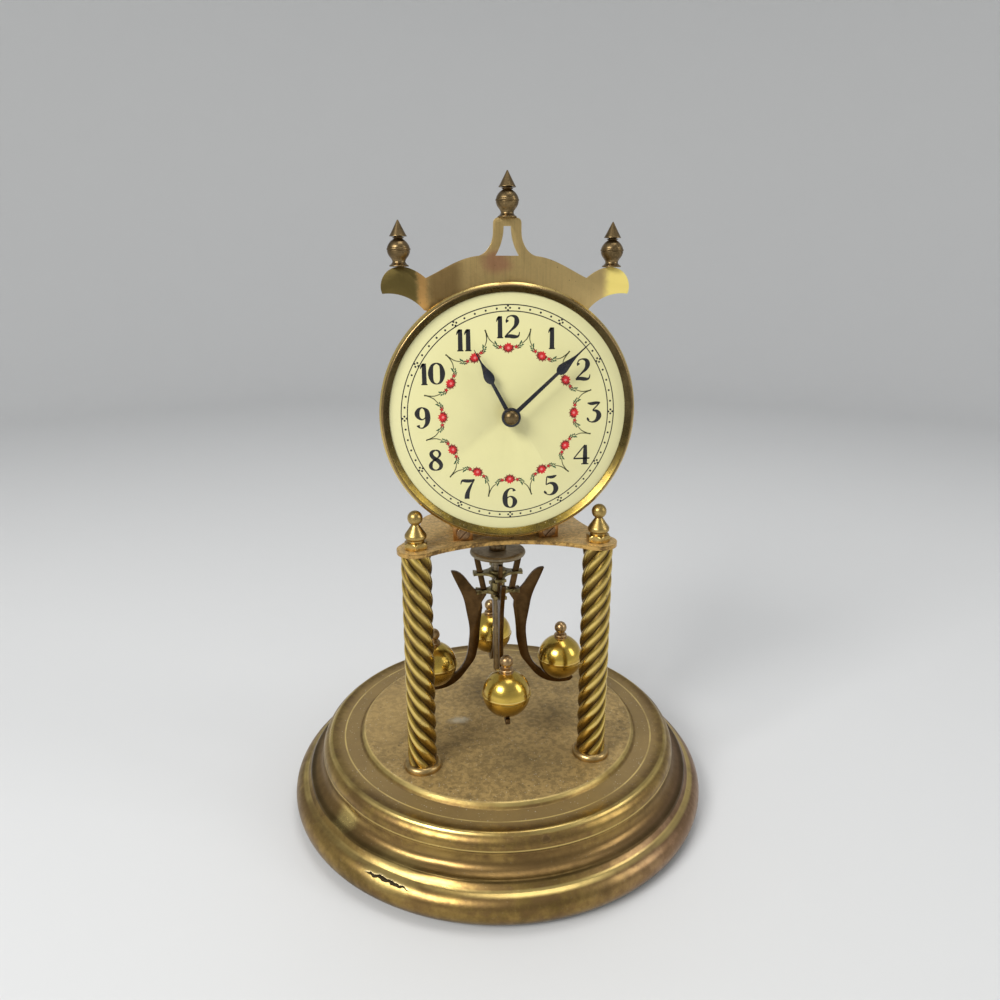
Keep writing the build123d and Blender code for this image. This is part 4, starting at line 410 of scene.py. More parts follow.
class Finish:
    """A material under way: its shader, the object's coordinates and the colour painted so far."""

    def __init__(self, name, metallic=1.0, roughness=0.35, **fixed):
        self.material = bpy.data.materials.new(name)
        self.material.use_nodes = True
        self.tree = self.material.node_tree
        self.tree.nodes.clear()
        self.shader = node(self.tree, "ShaderNodeBsdfPrincipled",
                           {"Metallic": metallic, "Roughness": roughness})
        for key, value in fixed.items():
            self.shader.inputs[key.replace("_", " ")].default_value = value
        out = node(self.tree, "ShaderNodeOutputMaterial", {"Surface": self.shader.outputs[0]})
        out.is_active_output = True
        self.place = node(self.tree, "ShaderNodeTexCoord").outputs["Object"]
        self.x, self.y, self.z = node(self.tree, "ShaderNodeSeparateXYZ", {0: self.place}).outputs
        self.tint = None

    def feed(self, name, socket):
        self.tree.links.new(socket, self.shader.inputs[name])

    def done(self, height=None, strength=0.3, distance=0.0002):
        """Links the painted colour and the relief, and gives the material."""
        self.feed("Base Color", self.tint)
        if height is not None:
            relief = {"Height": height, "Strength": strength, "Distance": distance}
            self.feed("Normal", node(self.tree, "ShaderNodeBump", relief).outputs[0])
        return self.material

    def calc(self, *values, **settings):
        return calc(self.tree, *values, **settings)

    def add(self, first, second):
        return self.calc("ADD", first, second)

    def less(self, first, second, clamp=False):
        return self.calc("SUBTRACT", first, second, clamp=clamp)

    def line(self, value, slope, start):
        return self.calc("MULTIPLY_ADD", value, slope, start)

    def times(self, first, *others):
        for other in others:
            first = self.calc("MULTIPLY", first, other)
        return first

    def most(self, first, *others):
        for other in others:
            first = self.calc("MAXIMUM", first, other)
        return first

    def spread(self, *values, **settings):
        return spread(self.tree, *values, **settings)

    def mix(self, share, low, high):
        return blend_values(self.tree, share, low, high)

    def blend(self, share, low, high):
        return blend_colours(self.tree, share, low, high)

    def paint(self, colour, *shares):
        """Lays a colour over the painted one, by the product of the shares."""
        self.tint = self.blend(self.times(*shares), self.tint, colour)

    def effect(self, name, **values):
        """A shared effect on the object's coordinates. Gives its outputs by name."""
        named = {key.replace("_", " "): value for key, value in values.items()}
        return use_group(self.tree, name, {"Vector": self.place, **named})

    def tarnish(self, scale, balance, softness, light, dark):
        return self.effect("tarnish", Scale=scale, Balance=balance, Softness=softness,
                           Light=(*tuple(light)[:3], 1), Dark=(*tuple(dark)[:3], 1))

    def ground(self, *values):
        """A tarnish whose colour is the first that is painted."""
        tone = self.tarnish(*values)
        self.tint = tone["Color"]
        return tone

    def specks(self, scale, density, size):
        return self.effect("specks", Scale=scale, Density=density, Size=size)["Mask"]

    def brushed(self, *stretch):
        return self.effect("brushed", Stretch=stretch)

    def band(self, value, centre, width, breaks, scale):
        return self.effect("band", Value=value, Centre=centre, Width=width, Break_up=breaks,
                           Scale=scale)["Mask"]

    def patch(self, centre, stretch, radius, softness, ragged, scale):
        return self.effect("patch", Centre=centre, Stretch=stretch, Radius=radius, Softness=softness,
                           Ragged=ragged, Scale=scale)

    def facing(self):
        """The parts of the way the surface faces."""
        normal = node(self.tree, "ShaderNodeNewGeometry").outputs["Normal"]
        return node(self.tree, "ShaderNodeSeparateXYZ", {0: normal}).outputs

    def reach(self, across, along):
        """Distance from an axis, from the offsets on two sides."""
        return self.calc("SQRT", self.line(across, across, self.times(along, along)))

    def radius_from(self, x=0.0, y=0.0):
        """Distance from an upright axis."""
        return self.reach(self.less(self.x, x), self.less(self.y, y))

    def dial_radius(self):
        """Distance from the dial's axis."""
        return self.reach(self.x, self.less(self.z, dial_z))


def shade(colour, factor):
    """A darker or lighter copy of a colour."""
    return tuple(min(1.0, part * factor) for part in tuple(colour)[:3])


def base_finish():
    """Aged lacquered brass: a dusty deck, ridges painted bright as rubbed wear and painted highlight, mauve
    to the right, old knocks, and painted shade in the cove, over the rim and at its foot.
    """
    c = colours()
    f = Finish("base_brass", roughness=0.34, Anisotropic=0.25)
    radius = f.radius_from()

    # Olive walls, mauve to the right, brown tarnish patches, and painted shade in the cove
    wall = f.ground(38.0, 0.53, 0.16, c.olive, shade(c.olive, 0.46))
    mauve = f.tarnish(55.0, 0.5, 0.22, shade(c.mauve, 1.25), shade(c.mauve, 0.7))
    right = f.times(f.spread(f.x, 0.010, 0.075), f.spread(radius, 0.082, 0.090))
    f.paint(mauve["Color"], right, 0.75)
    # Painted shade: the cove's hollow is painted darker brown
    cove_shade = f.times(f.spread(f.z, 0.0165, 0.0185), f.spread(f.z, 0.0262, 0.0238),
                   f.spread(radius, 0.083, 0.0845))
    brown = f.tarnish(46.0, 0.50, 0.08, black, white)
    f.paint((0.165, 0.092, 0.042), f.most(f.times(cove_shade, 0.55), f.times(brown["Mask"], 0.55)))

    # The dusty deck, and the groove round it
    deck = f.times(f.spread(radius, 0.0650, 0.0640), f.spread(f.z, 0.0330, 0.0337))
    deck_tone = f.tarnish(30.0, 0.5, 0.22, c.dust, shade(c.dust, 0.64))
    sand = f.tarnish(420.0, 0.5, 0.07, shade(c.dust, 1.45), shade(c.dust, 0.50))
    smear = f.tarnish(95.0, 0.57, 0.06, black, white)
    deck_colour = f.blend(0.40, deck_tone["Color"], sand["Color"])
    f.paint(f.blend(f.times(smear["Mask"], 0.42), deck_colour, shade(c.dust, 0.38)), deck)
    groove = f.times(f.spread(radius, 0.0660, 0.0672), f.spread(radius, 0.0790, 0.0735),
                     f.spread(f.z, 0.030, 0.0312))
    f.paint(shade(c.dust, 0.62), groove, 0.8)

    # Stains, spots and settled motes
    tide = f.patch((-0.0560, 0.0090, deck_height), (1.0, 0.85, 1.0), 0.024, 0.10, 0.55, 75.0)
    f.paint(shade(c.dust, 1.18), tide["Mask"], deck, 0.35)
    f.paint(shade(c.dust, 0.42), tide["Edge"], deck, 0.32)
    smudge = f.patch((-0.0190, -0.0016, deck_height), (1.0, 2.0, 1.0), 0.0075, 0.8, 1.3, 320.0)
    f.paint((0.62, 0.58, 0.46), smudge["Mask"], 0.5)
    dark_patch = f.patch((0.012, -0.038, deck_height), (0.8, 1.2, 1.0), 0.026, 0.9, 0.9, 90.0)
    f.paint(shade(c.dust, 0.36), dark_patch["Mask"], 0.38)
    f.paint(shade(c.dust, 0.34), f.specks(330.0, 0.22, 0.32), deck, 0.60)
    dusty = f.most(deck, groove)
    motes = f.specks(1050.0, 0.34, 0.34)
    mote_share = f.times(motes, f.mix(dusty, 0.12, 0.55))
    f.paint((0.66, 0.62, 0.48), mote_share)

    # Ridges painted bright, partly as rubbed wear and partly as painted highlight, and knocks rubbed bright;
    # ridges by radius or height, place, width and breaks
    # The ridge bands are partly rubbed brass and partly a painted highlight
    ridges = [f.band(*ridge, 34.0) for ridge in (
        (radius, 0.0648, 0.0011, 0.85), (radius, 0.0735, 0.0005, 0.75), (radius, 0.0803, 0.0014, 0.80),
        (f.z, 0.0262, 0.0007, 0.30), (f.z, 0.0146, 0.0010, 0.80))]
    worn = f.times(f.most(*ridges), f.times(f.spread(radius, 0.060, 0.064), 0.62))
    dent = f.patch((-0.0722, -0.0487, 0.0215), (1.0, 1.0, 1.3), 0.0085, 0.6, 0.8, 210.0)
    facet = f.patch((-0.0530, -0.0770, 0.0150), (0.8, 0.8, 1.9), 0.0150, 0.8, 0.6, 160.0)
    worn = f.most(worn, f.times(dent["Mask"], 0.75), f.times(facet["Mask"], 0.55))
    f.paint(c.worn, worn)

    # Painted shade in the crease over the rim and round the rim's foot, and a chip in the upper step
    painted_shade = f.times(f.band(f.z, 0.0178, 0.0009, 0.25, 60.0), f.spread(radius, 0.086, 0.088))
    foot = f.times(f.spread(f.z, 0.0075, 0.0015), f.spread(radius, 0.080, 0.086))
    # Both bands are painted shade, not tarnish
    f.paint(shade(c.olive, 0.16), f.most(painted_shade, foot), 0.78)
    chip = f.patch((0.0085, -0.0822, 0.0297), (1.0, 1.0, 1.4), 0.0026, 0.35, 0.9, 420.0)
    f.paint((0.160, 0.095, 0.045), chip["Mask"], 0.60)
    f.paint((0.85, 0.55, 0.22), chip["Edge"], 0.10)

    # A split in the rim, painted near black as painted shade in the crack, and its pale upper lip as a
    # painted highlight
    angle = f.calc("ARCTAN2", f.y, f.x)
    jag = noise(f.tree, f.place, 420.0, 3.0)
    apart = f.less(f.z, f.line(jag, 0.0016, 0.0118))
    along = f.times(f.spread(angle, -2.300, -2.235), f.spread(angle, -2.060, -2.140))
    half = f.times(along, 0.00036)
    side = f.times(f.spread(along, 0.0, 0.15), f.spread(radius, 0.088, 0.090))
    split = f.times(side, f.spread(f.less(f.calc("ABSOLUTE", apart), half), 0.0, 0.00012, 1.0, 0.0))
    lip = f.times(side, f.spread(f.less(apart, half), 0.00055, 0.00015, 0.0, 0.5),
                  f.spread(apart, 0.0, 0.0001))
    # Painted highlight on the lip, then painted shade in the split
    f.paint((0.95, 0.78, 0.42), lip)
    f.paint((0.020, 0.015, 0.008), split)

    rough = f.mix(worn, f.mix(dusty, f.line(wall["Mask"], 0.14, 0.30), 0.54), 0.24)
    f.feed("Roughness", f.add(rough, f.times(motes, 0.25)))
    metal = f.less(1.0, f.times(dusty, 0.66))
    f.feed("Metallic", f.less(metal, f.times(mote_share, 0.5), clamp=True))
    grain = f.brushed(520.0, 520.0, 520.0)
    height = f.line(wall["Height"], 0.6, f.times(grain["Height"], 0.4))
    height = f.less(f.less(height, f.times(split, 2.5)), f.times(chip["Mask"], 1.2))
    return f.done(f.add(height, f.times(motes, dusty, 0.7)), 0.35, 0.00025)


def pillar_finish(name, hand):
    """Rope-twisted brass: brown lacquer in the grooves, green-brown spots, painted shade on the downward
    faces, and bright strand crests that are partly rubbed and partly a painted highlight.
    """
    c, s = colours(), sizes()
    f = Finish(name, roughness=0.2)
    depth = f.spread(f.radius_from(hand * pillar_x, pillar_y), s.pillar_valley, s.pillar_radius)
    tone = f.tarnish(150.0, 0.56, 0.12, shade(c.gold, 0.86), c.olive)
    f.tint = f.blend(depth, (0.085, 0.050, 0.016), tone["Color"])
    # Painted shade: faces that turn downward are painted darker
    painted_shade = f.spread(f.facing()[2], 0.12, -0.30)
    f.paint((0.125, 0.078, 0.022), painted_shade, 0.85)
    # Bright crests, partly rubbed brass and partly a painted highlight, kept off the downward faces
    f.paint(shade(c.worn, 1.05), f.spread(depth, 0.72, 1.0), f.less(0.60, painted_shade, clamp=True))
    spots = f.specks(520.0, 0.16, 0.42)
    f.paint((0.14, 0.085, 0.03), spots, 0.5)
    f.feed("Roughness", f.add(f.times(tone["Mask"], 0.14), f.mix(depth, 0.42, 0.17)))
    return f.done(f.add(tone["Height"], f.times(spots, -0.6)), 0.16, 0.00012)


def gold_finish():
    """Lacquered gold brass of the balls: copper blush, painted shade over the lower half, brown pin spots and
    hairline turning rings.
    """
    c = colours()
    f = Finish("ball_gold", roughness=0.22, Coat_Weight=0.20, Coat_Roughness=0.12)
    tone = f.ground(85.0, 0.60, 0.14, c.gold, (0.40, 0.245, 0.060))
    seam_z = ball_seam_z()
    # Painted shade: the lower half, below the seam, is painted darker
    f.paint((0.235, 0.150, 0.036), f.spread(f.z, seam_z - 0.0055, seam_z + 0.0004, 1.0, 0.0), 0.62)
    spots = f.specks(420.0, 0.12, 0.40)
    f.paint((0.16, 0.075, 0.02), spots, 0.7)
    # Over the seam a bright line, partly rubbed and partly a painted highlight; under its lip a dark line of
    # painted shade
    for drop, seam_colour in ((0.0003, c.worn), (-0.00045, (0.075, 0.042, 0.014))):
        f.paint(seam_colour, f.band(f.z, seam_z + drop, 0.00042, 0.1, 90.0), 0.75)
    f.feed("Roughness", f.add(f.times(tone["Mask"], 0.12), f.line(spots, 0.2, 0.22)))
    rings = f.brushed(30.0, 30.0, 2600.0)
    return f.done(f.line(tone["Height"], 0.3, f.times(rings["Height"], 0.25)), 0.10, 0.00008)


def cap_finish(name, tint, contrast=0.55, scale=170.0):
    """Turned brass with a two-tone tarnish, fine turning rings and dark specks."""
    f = Finish(name, roughness=0.28)
    tone = f.ground(scale, 0.52, 0.15, tint, shade(tint, contrast))
    rings = f.brushed(60.0, 60.0, 3200.0)
    f.paint(shade(tint, 0.4), rings["Mask"], 0.35)
    f.paint(shade(colours().bronze, 0.35), f.specks(700.0, 0.14, 0.4), 0.6)
    f.feed("Roughness", f.line(tone["Mask"], 0.16, 0.28))
    return f.done(f.add(rings["Height"], tone["Height"]), 0.18, 0.0001)


def fret_finish():
    """Flat brass brushed upright, olive to the left, with a painted highlight that lightens it towards the
    right and floods the right lobe, and a red stain at the arch.
    """
    c = colours()
    f = Finish("fret_satin", roughness=0.30, Anisotropic=0.35)
    upright = f.brushed(1500.0, 40.0, 40.0)
    tone = f.ground(95.0, 0.58, 0.15, c.satin, shade(c.satin, 0.66))
    f.paint(shade(c.satin, 0.55), upright["Mask"], 0.45)
    # Painted highlight: lighter from left to right across the fret
    f.paint((0.780, 0.580, 0.250), f.spread(f.x, -0.022, 0.034, smooth=False), 0.60)
    x = f.add(f.x, f.line(tone["Height"], 0.0022, -0.0011))
    left = f.spread(x, -0.0318, -0.0352)
    right = f.spread(x, 0.0362, 0.0402)
    f.paint((0.225, 0.138, 0.050), f.spread(x, -0.0315, -0.0275), f.spread(x, -0.0150, -0.0205), 0.72)
    f.paint((0.120, 0.090, 0.026), left, 0.90)
    f.paint((0.68, 0.36, 0.11), f.spread(x, -0.0345, -0.0328), f.spread(x, -0.0290, -0.0316), 0.65)
    # Painted highlight over the right lobe
    f.paint((0.96, 0.78, 0.20), right, 0.85)
    stain = f.patch((-0.0040, -0.030, 0.2455), (0.75, 0.2, 1.0), 0.0062, 0.75, 0.7, 260.0)
    f.paint((0.42, 0.135, 0.105), stain["Mask"], 0.50)
    f.paint((0.16, 0.10, 0.045), f.specks(420.0, 0.16, 0.34), 0.5)
    f.paint(c.worn, f.spread(f.calc("ABSOLUTE", f.facing()[1]), 0.97, 0.75), 0.7)
    f.feed("Roughness", f.line(tone["Mask"], 0.14, f.line(left, 0.04, 0.31)))
    # Less metallic on the right lobe, under its painted highlight
    f.feed("Metallic", f.line(right, -0.70, 1.0))
    crossing = f.brushed(240.0, 40.0, 1700.0)
    return f.done(f.add(upright["Height"], f.times(crossing["Mask"], 0.35)), 0.22, 0.00012)


def platform_finish():
    """Copper-tan top, thick with fine specks, and brassy edges."""
    c = colours()
    f = Finish("platform_copper", roughness=0.42)
    tone = f.tarnish(60.0, 0.5, 0.2, c.copper, shade(c.copper, 0.70))
    sand = f.tarnish(620.0, 0.5, 0.07, shade(c.copper, 1.35), shade(c.copper, 0.50))
    edge = f.tarnish(130.0, 0.52, 0.08, (0.62, 0.38, 0.12), (0.17, 0.10, 0.04))
    dark = f.specks(1000.0, 0.62, 0.44)
    pale = f.specks(1100.0, 0.25, 0.36)
    f.tint = f.blend(0.40, tone["Color"], sand["Color"])
    f.paint(shade(c.copper, 0.34), dark, 0.65)
    f.paint((0.80, 0.66, 0.45), pale, 0.55)
    side = f.spread(f.calc("ABSOLUTE", f.facing()[2]), 0.92, 0.6)
    f.paint(edge["Color"], side)
    f.feed("Roughness", f.mix(side, f.line(dark, 0.2, 0.46), 0.26))
    f.feed("Metallic", f.less(1.0, f.times(f.less(1.0, side), 0.50)))
    return f.done(f.less(f.times(pale, 0.6), f.times(dark, 0.6)), 0.3, 0.00015)


def bezel_finish():
    """Rolled brass ring: brown-pink outer band, and an inner slope painted dark olive above as painted shade
    and gold below as a painted highlight.
    """
    c = colours()
    f = Finish("bezel_brass", roughness=0.27)
    radius = f.dial_radius()
    inner = f.spread(radius, dial_radius * 1.000, dial_radius * 0.990)
    low = f.spread(f.z, dial_z + dial_radius * 0.05, dial_z - dial_radius * 0.75)
    outer = f.ground(120.0, 0.5, 0.2, (0.410, 0.280, 0.115), (0.215, 0.142, 0.060))
    slope = f.tarnish(150.0, 0.5, 0.2, (0.115, 0.085, 0.035), (0.060, 0.042, 0.018))
    gold = f.tarnish(210.0, 0.55, 0.2, shade(c.gold, 0.48), (0.120, 0.090, 0.036))
    f.paint(shade(c.olive, 0.9), low, 0.40)
    f.paint(c.worn, f.spread(radius, bezel_reach * 0.982, bezel_reach * 0.990), 0.8)
    # Painted shade and painted highlight: the inner slope dark where it faces down, gold where it faces up
    f.paint(f.blend(low, slope["Color"], gold["Color"]), inner)
    dusty = f.times(f.specks(1300.0, 0.3, 0.4), f.times(inner, low))
    f.paint((0.56, 0.48, 0.28), dusty, 0.6)
    f.feed("Roughness", f.line(dusty, 0.3, f.line(outer["Mask"], 0.12, 0.22)))
    return f.done(outer["Height"], 0.15, 0.0001)


def enamel_finish():
    """Cream enamel, a little greener to the rim, with faint stains, a soft gloss and tiny pits."""
    c = colours()
    f = Finish("dial_enamel", metallic=0.0, roughness=0.30, Coat_Weight=0.25, Coat_Roughness=0.12)
    tone = f.ground(24.0, 0.52, 0.3, c.enamel, shade(c.enamel, 0.94))
    rim = f.spread(f.dial_radius(), dial_radius * 0.55, dial_radius * 0.97)
    f.paint((0.785, 0.742, 0.410), rim, 0.5)
    f.paint((0.16, 0.12, 0.07), f.specks(240.0, 0.02, 0.12), 0.7)
    f.feed("Roughness", f.line(tone["Mask"], 0.08, 0.27))
    return f.done(tone["Height"], 0.04, 0.0001)


def print_finish(name, colour, dark=0.6):
    """Transfer print: a nearly even ink with a slight mottle and a thin gloss."""
    f = Finish(name, metallic=0.0, roughness=0.42)
    tone = f.ground(700.0, 0.55, 0.2, colour, shade(colour, dark))
    f.feed("Roughness", f.line(tone["Mask"], 0.12, 0.36))
    return f.done()


def hand_finish():
    """Blue-black lacquered steel with worn edges and a faint brown bloom."""
    f = Finish("hand_black", metallic=0.55, roughness=0.26, Coat_Weight=0.4, Coat_Roughness=0.15)
    tone = f.ground(260.0, 0.58, 0.12, (0.016, 0.018, 0.026), (0.055, 0.042, 0.030))
    f.paint((0.14, 0.12, 0.10), f.spread(f.calc("ABSOLUTE", f.facing()[1]), 0.9, 0.5), 0.35)
    f.feed("Roughness", f.line(tone["Mask"], 0.2, 0.22))
    return f.done(tone["Height"], 0.08, 0.00005)


def metal_finish(name, light, dark, roughness=0.32, scale=110.0, stretch=(90.0, 90.0, 2200.0), edges=0.4):
    """Cut or turned metal: two-tone tarnish, a brushed grain, specks, and edges rubbed bright."""
    f = Finish(name, roughness=roughness)
    tone = f.ground(scale, 0.54, 0.16, light, dark)
    grain = f.brushed(*stretch)
    f.paint(shade(dark, 0.8), grain["Mask"], 0.25)
    f.paint(shade(dark, 0.5), f.specks(600.0, 0.18, 0.4), 0.45)
    flat = f.most(*(f.calc("ABSOLUTE", part) for part in f.facing()))
    f.paint(shade(light, 1.5), f.spread(flat, 0.95, 0.80), edges)
    f.feed("Roughness", f.line(tone["Mask"], 0.15, roughness - 0.05))
    return f.done(f.add(grain["Height"], tone["Height"]), 0.15, 0.0001)


def floor_finish():
    """Pale matt paper with a very faint mottle."""
    c = colours()
    f = Finish("studio_paper", metallic=0.0, roughness=0.85)
    f.ground(6.0, 0.5, 0.4, c.floor, shade(c.floor, 0.985))
    return f.done()


def ball_seam_z():
    """Height of a ball's equator, from the flat under the ball to the shoulder of its cap."""
    ball_radius = (ball_high.x - ball_low.x) / 2
    return ball_low.z + stud_tail + ball_radius - ball_flat


def finishes():
    """Every material by a short name."""
    c = colours()
    brass = (0.50, 0.365, 0.155)
    upright, crossed, even = (300.0, 300.0, 500.0), (2200.0, 90.0, 60.0), (300.0, 300.0, 300.0)
    made = {
        "base": base_finish(), "ball": gold_finish(), "fret": fret_finish(),
        "platform": platform_finish(), "bezel": bezel_finish(), "enamel": enamel_finish(),
        "hand": hand_finish(), "floor": floor_finish(),
        "pillar_left": pillar_finish("pillar_left_brass", -1),
        "pillar_right": pillar_finish("pillar_right_brass", 1),
    }
    for short, *values in (
            ("ball_cap", "ball_cap_brass", (0.52, 0.345, 0.165)),
            ("flange", "flange_brass", (0.58, 0.40, 0.165)),
            ("cap", "pillar_cap_brass", (0.56, 0.39, 0.13), 0.5),
            ("finial", "finial_bronze", c.bronze, 0.42, 220.0),
            ("nut", "hand_nut_bronze", shade(c.bronze, 0.85), 0.5, 260.0)):
        made[short] = cap_finish(*values)
    for short, *values in (
            ("ink", "dial_ink", c.ink), ("blossom", "garland_red", c.blossom, 0.7),
            ("bud", "garland_brown", (0.230, 0.022, 0.014)),
            ("stem", "garland_stem", (0.060, 0.062, 0.020), 0.7),
            ("heart", "garland_pink", (0.78, 0.22, 0.20), 0.8), ("leaf", "garland_green", c.leaf)):
        made[short] = print_finish(*values)
    for short, *values in (
            ("arm", "arm_bronze", shade(c.dark_bronze, 1.15), shade(c.dark_bronze, 0.6), 0.34, 70.0,
             upright, 0.5),
            ("disc", "disc_grey_brass", (0.34, 0.28, 0.180), (0.17, 0.135, 0.085), 0.48, 130.0, even, 0.3),
            ("rod", "rod_tarnished", (0.27, 0.205, 0.115), (0.11, 0.080, 0.045), 0.40, 160.0),
            ("star", "star_green_brass", (0.33, 0.265, 0.115), (0.15, 0.115, 0.05), 0.36, 160.0),
            ("plate", "plate_brass", brass, shade(brass, 0.62), 0.30, 60.0, crossed),
            ("leg", "leg_orange_brass", (0.50, 0.27, 0.10), (0.22, 0.115, 0.045), 0.34, 140.0),
            ("wheel", "wheel_brass", (0.62, 0.46, 0.18), (0.42, 0.30, 0.12), 0.26, 90.0,
             (500.0, 500.0, 500.0)),
            ("steel", "steel_parts", (0.36, 0.36, 0.37), (0.19, 0.18, 0.18), 0.30, 120.0),
            ("screw", "screw_steel", (0.29, 0.180, 0.095), (0.13, 0.078, 0.040), 0.36, 200.0),
            ("spring", "spring_steel", (0.50, 0.50, 0.52), (0.32, 0.31, 0.31), 0.22, 90.0)):
        made[short] = metal_finish(*values)
    return made


def finish(name):
    return bpy.data.materials[bpy.context.scene["finish_" + name]]


# Mesh helpers

def link(name, data):
    """A new object of a mesh, lamp or camera, in the scene."""
    piece = bpy.data.objects.new(name, data)
    bpy.context.scene.collection.objects.link(piece)
    return piece


def place_piece(piece, body, nodes, material, smooth):
    """Finish, shading, body and replaced nodes of a piece. A grown piece has its finish already."""
    if material is not None:
        piece.data.materials.clear()
        piece.data.materials.append(finish(material))
    piece.data.shade_smooth()
    piece.data.set_sharp_from_angle(angle=math.radians(smooth))
    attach(piece, body)
    if nodes:
        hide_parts(*nodes)


def poured(name, bm):
    """A mesh from a bmesh, which is freed."""
    mesh = bpy.data.meshes.new(name)
    bm.to_mesh(mesh)
    bm.free()
    return mesh


def filleted(points, fillets, steps=5):
    """The same open line with each inner corner rounded by a short curve."""
    line = [points[0]]
    for before, here, after, cut in zip(points, points[1:], points[2:], fillets[1:]):
        if cut <= 0:
            line.append(here)
            continue
        p, q, r = Vector(before), Vector(here), Vector(after)
        start = q + (p - q).normalized() * min(cut, (p - q).length * 0.45)
        end = q + (r - q).normalized() * min(cut, (r - q).length * 0.45)
        for k in range(steps + 1):
            t = k / steps
            line.append(tuple(start * (1 - t) ** 2 + q * 2 * t * (1 - t) + end * t ** 2))
    line.append(points[-1])
    return line


def arc_points(start, end, bulge, steps=14):
    """Points inside an arc from start to end, whose middle stands bulge to the left."""
    p, q = Vector(start), Vector(end)
    across = q - p
    side = Vector((-across.y, across.x)).normalized()
    return [tuple(p.lerp(q, k / steps) + side * bulge * (1 - (2 * k / steps - 1) ** 2))
            for k in range(1, steps)]


def smooth_line(points, steps):
    """A Catmull-Rom curve through the points, in any number of dimensions."""
    made = []
    last = len(points) - 1
    for i in range(last):
        quad = [points[min(max(i + k, 0), last)] for k in (-1, 0, 1, 2)]
        for k in range(steps):
            t = k / steps
            made.append(tuple(
                0.5 * (2 * b + (c - a) * t + (2 * a - 5 * b + 4 * c - d) * t * t
                       + (3 * b - a - 3 * c + d) * t ** 3)
                for a, b, c, d in zip(*quad)))
    return made + [tuple(points[-1])]


def turned(name, profile, segments=128, closed=False, seat=None):
    """A mesh turned round the Z axis from (radius, height) points. seat places it."""
    bm = bmesh.new()
    rings = []
    for radius, height in profile:
        if radius < 1e-7:
            rings.append([bm.verts.new((0, 0, height))])
            continue
        rings.append([bm.verts.new((radius * math.cos(2 * math.pi * k / segments),
                                    radius * math.sin(2 * math.pi * k / segments), height))
                      for k in range(segments)])
    pairs = list(zip(rings, rings[1:]))
    if closed:
        pairs.append((rings[-1], rings[0]))
    for low, high in pairs:
        for k in range(segments):
            after = (k + 1) % segments
            corners = [low[k % len(low)], low[after % len(low)], high[after % len(high)], high[k % len(high)]]
            corners = list(dict.fromkeys(corners))
            if len(corners) > 2:
                bm.faces.new(corners)
    bmesh.ops.recalc_face_normals(bm, faces=bm.faces)
    if seat is not None:
        bmesh.ops.transform(bm, matrix=seat, verts=bm.verts)
    return poured(name, bm)


def joined_piece(name, meshes, nodes, material, smooth):
    """One piece of the fixed frame from several meshes."""
    bm = bmesh.new()
    for mesh in meshes:
        bm.from_mesh(mesh)
    place_piece(link(name, poured(name, bm)), "frame", nodes, material, smooth)


def front_seat(y):
    """A matrix that turns a piece's axis to the front, onto the dial's axis."""
    return Matrix.Translation((0, y, dial_z)) @ Matrix.Rotation(math.pi / 2, 4, "X")


def scaled_profile(shares, radius, height, base=0.0):
    return [(r * radius, base + h * height) for r, h in shares]


def apply_modifiers(piece):
    """Bakes a piece's modifiers into its mesh."""
    depsgraph = bpy.context.evaluated_depsgraph_get()
    made = bpy.data.meshes.new_from_object(piece.evaluated_get(depsgraph))
    piece.modifiers.clear()
    piece.data = made
    return piece


def dressed(name, node_name, body, slot, material, bevel=None, smooth=35, angle=40):
    """A CAD node's mesh, merged and with its edges broken, under a finish."""
    bm = bmesh.new()
    bm.from_mesh(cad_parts[node_name].data)
    bmesh.ops.remove_doubles(bm, verts=bm.verts, dist=weld_distance)
    bmesh.ops.dissolve_limit(bm, angle_limit=math.radians(0.5), verts=bm.verts, edges=bm.edges)
    piece = link(name, poured(name, bm))
    width = sizes().bevel if bevel is None else bevel
    if width > 0:
        edges = piece.modifiers.new("edges", "BEVEL")
        edges.width = width
        edges.segments = 2
        edges.limit_method = "ANGLE"
        edges.angle_limit = math.radians(angle)
        apply_modifiers(piece)
    place_piece(piece, body, [node_name], material, smooth)


# Geometry node helpers

def geometry_tree(name, **inputs):
    """A geometry tree with a Geometry socket and named inputs, given with their kinds."""
    tree = bpy.data.node_groups.new(name, "GeometryNodeTree")
    for label, kind in {"Geometry": "Geometry", **inputs}.items():
        tree.interface.new_socket(label, in_out="INPUT", socket_type="NodeSocket" + kind)
    tree.interface.new_socket("Geometry", in_out="OUTPUT", socket_type="NodeSocketGeometry")
    return tree, tree.nodes.new("NodeGroupInput").outputs, tree.nodes.new("NodeGroupOutput").inputs


def end_tree(tree, geometry, material, out):
    """Ends a geometry tree in plain geometry under one finish."""
    plain = node(tree, "GeometryNodeRealizeInstances", {0: geometry}).outputs[0]
    painted = node(tree, "GeometryNodeSetMaterial", {"Geometry": plain, "Material": material})
    tree.links.new(painted.outputs[0], out[0])
    return tree


def grown(name, source, tree, values):
    """Runs a geometry tree on a mesh and returns the plain result as an object."""
    piece = link(name, source)
    modifier = piece.modifiers.new("grow", "NODES")
    modifier.node_group = tree
    for item in tree.interface.items_tree:
        if item.in_out == "INPUT" and item.name in values:
            modifier[item.identifier] = values[item.name]
    piece.update_tag()
    bpy.context.view_layer.update()
    return apply_modifiers(piece)


